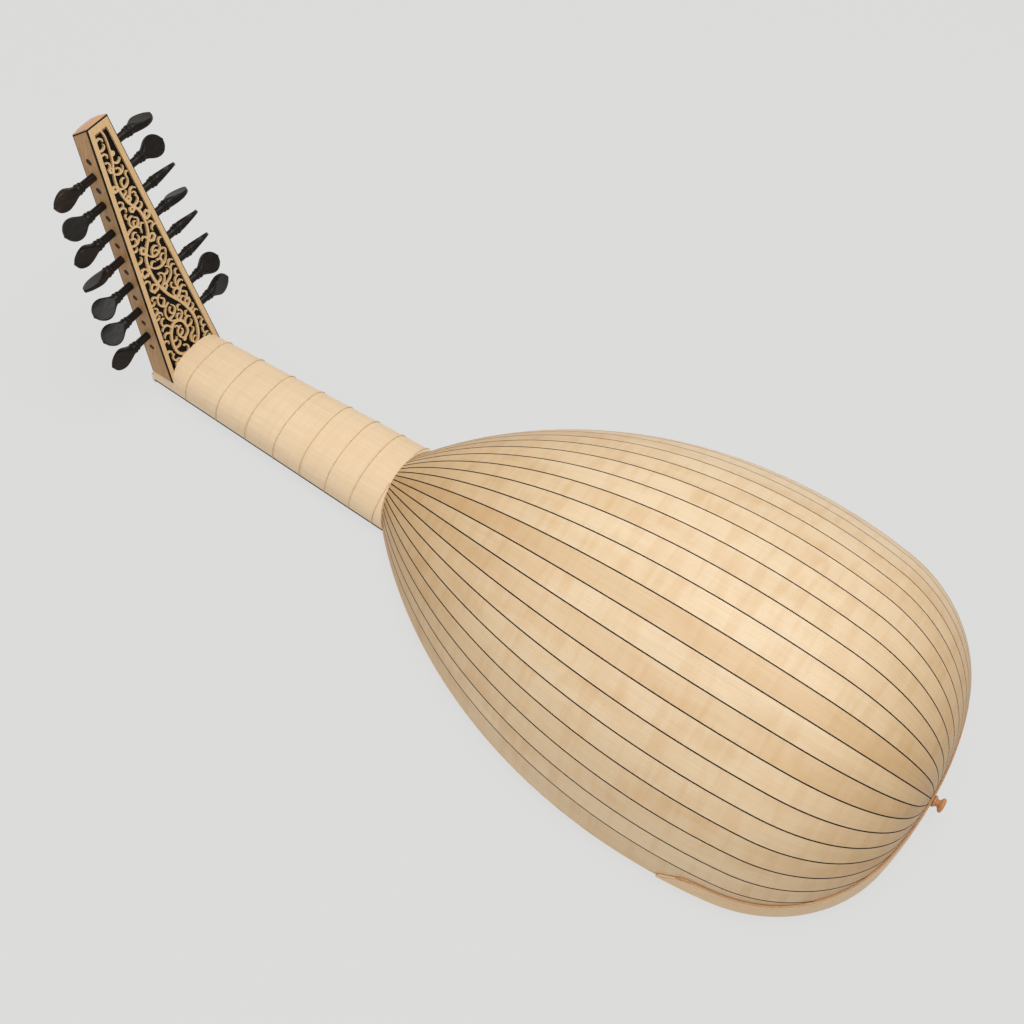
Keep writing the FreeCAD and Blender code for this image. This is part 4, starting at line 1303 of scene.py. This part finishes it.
def strip_height(y):
    """Height of the capping strip: tallest at the tail, ending in an ogee on each flank."""
    rise = min(1.0, y / (strip_half_span / 2))
    height = strip_height_tail + (strip_height_flank - strip_height_tail) * math.sin(rise * math.pi / 2)
    to_end = (strip_half_span - y) / strip_ogee_length
    if to_end >= 1:
        return height
    ogee = (1 - math.cos(math.pi * max(to_end, 0.0))) / 2
    return strip_end_height + (height - strip_end_height) * ogee


def make_strip_top_line():
    """Thin red-brown line along the top edge of the capping strip."""
    last = heading_at_y(strip_half_span)
    count = 110
    back = -strip_glue_gap - strip_thickness - 0.05
    front = -strip_glue_gap * 0.3
    up = Vector((0, 0, top_line_height))
    rings = []
    for step in range(-count, count + 1):
        heading = last * abs(step) / count
        side = 1 if step > 0 else -1
        width, y = outline_point(heading)
        base = Vector((side * width, y, 0))
        inward = Vector((-side * math.sin(heading), math.cos(heading), 0))
        height = strip_height(y)

        def below_height(inset):
            return bowl_height(base.x + inward.x * inset, base.y + inward.y * inset) < height

        inset = bisect(below_height, 0.0, 40.0, 24)
        foot = base + inward * inset + Vector((0, 0, height))
        outside = foot + inward * back
        inside = foot + inward * front
        rings.append([outside, inside, inside + up, outside + up])
    points, faces = joined_lofts([rings])
    mesh = build_mesh("strip_top_line", points, faces)
    add_piece("strip_top_line", mesh, MAIN_BODY, materials["line_wood"])


# ---- camera, floor and light ------------------------------------------------------

def make_camera():
    data = bpy.data.cameras.new("camera")
    data.lens = 51.716
    data.sensor_width = 36.0
    data.clip_start = 0.05
    data.clip_end = 50.0
    camera = bpy.data.objects.new("camera", data)
    bpy.context.scene.collection.objects.link(camera)
    camera.location = (-0.5490, 0.0234, 0.9528)
    camera.rotation_euler = [math.radians(angle) for angle in (34.047, -4.756, -57.337)]
    bpy.context.scene.camera = camera


def make_floor():
    size = 30.0
    mesh = bpy.data.meshes.new("floor")
    corners = [(-size, -size, 0), (size, -size, 0), (size, size, 0), (-size, size, 0)]
    mesh.from_pydata(corners, [], [(0, 1, 2, 3)])
    floor = bpy.data.objects.new("floor", mesh)
    bpy.context.scene.collection.objects.link(floor)
    made = Material("floor", 0.9, 0.0)
    haze = made.noise(made.coordinates((2.0, 2.0, 2.0)))
    made.colour(made.mix(haze, rgb(0.05, 0.05, 0.05), rgb(0.055, 0.055, 0.055)))
    made.shader.inputs["Emission Color"].default_value = rgb(1.0, 1.0, 1.0)
    made.shader.inputs["Emission Strength"].default_value = 0.66
    mesh.materials.append(made.material)


def make_light(name, place, target, size, watts):
    data = bpy.data.lights.new(name, "AREA")
    data.shape = "DISK"
    data.size = size
    data.energy = watts
    lamp = bpy.data.objects.new(name, data)
    bpy.context.scene.collection.objects.link(lamp)
    lamp.location = place
    lamp.rotation_euler = (Vector(target) - Vector(place)).to_track_quat("-Z", "Y").to_euler()


def make_lights():
    world = bpy.data.worlds.new("studio")
    bpy.context.scene.world = world
    world.use_nodes = True
    background = world.node_tree.nodes["Background"]
    background.inputs["Color"].default_value = rgb(1.0, 0.905, 0.765)
    background.inputs["Strength"].default_value = 0.55
    middle = (0.0, 0.22, 0.08)
    make_light("key", (0.15, 0.12, 2.1), middle, 1.5, 26.0)
    make_light("fill", (-1.5, 1.2, 1.4), middle, 1.6, 6.0)
    view = bpy.context.scene.view_settings
    view.view_transform = "Standard"
    view.look = "None"
    view.exposure = 0.0
    view.gamma = 1.0


make_camera()
make_floor()
make_lights()
finish_cad_nodes()
make_ribs()
make_rib_lines()
make_pegs()
make_pegbox_back()
make_frets()
make_strings()
make_soundboard()
make_bridge()
make_strap_button()
make_end_cap()
make_cap_line()
make_strip_top_line()
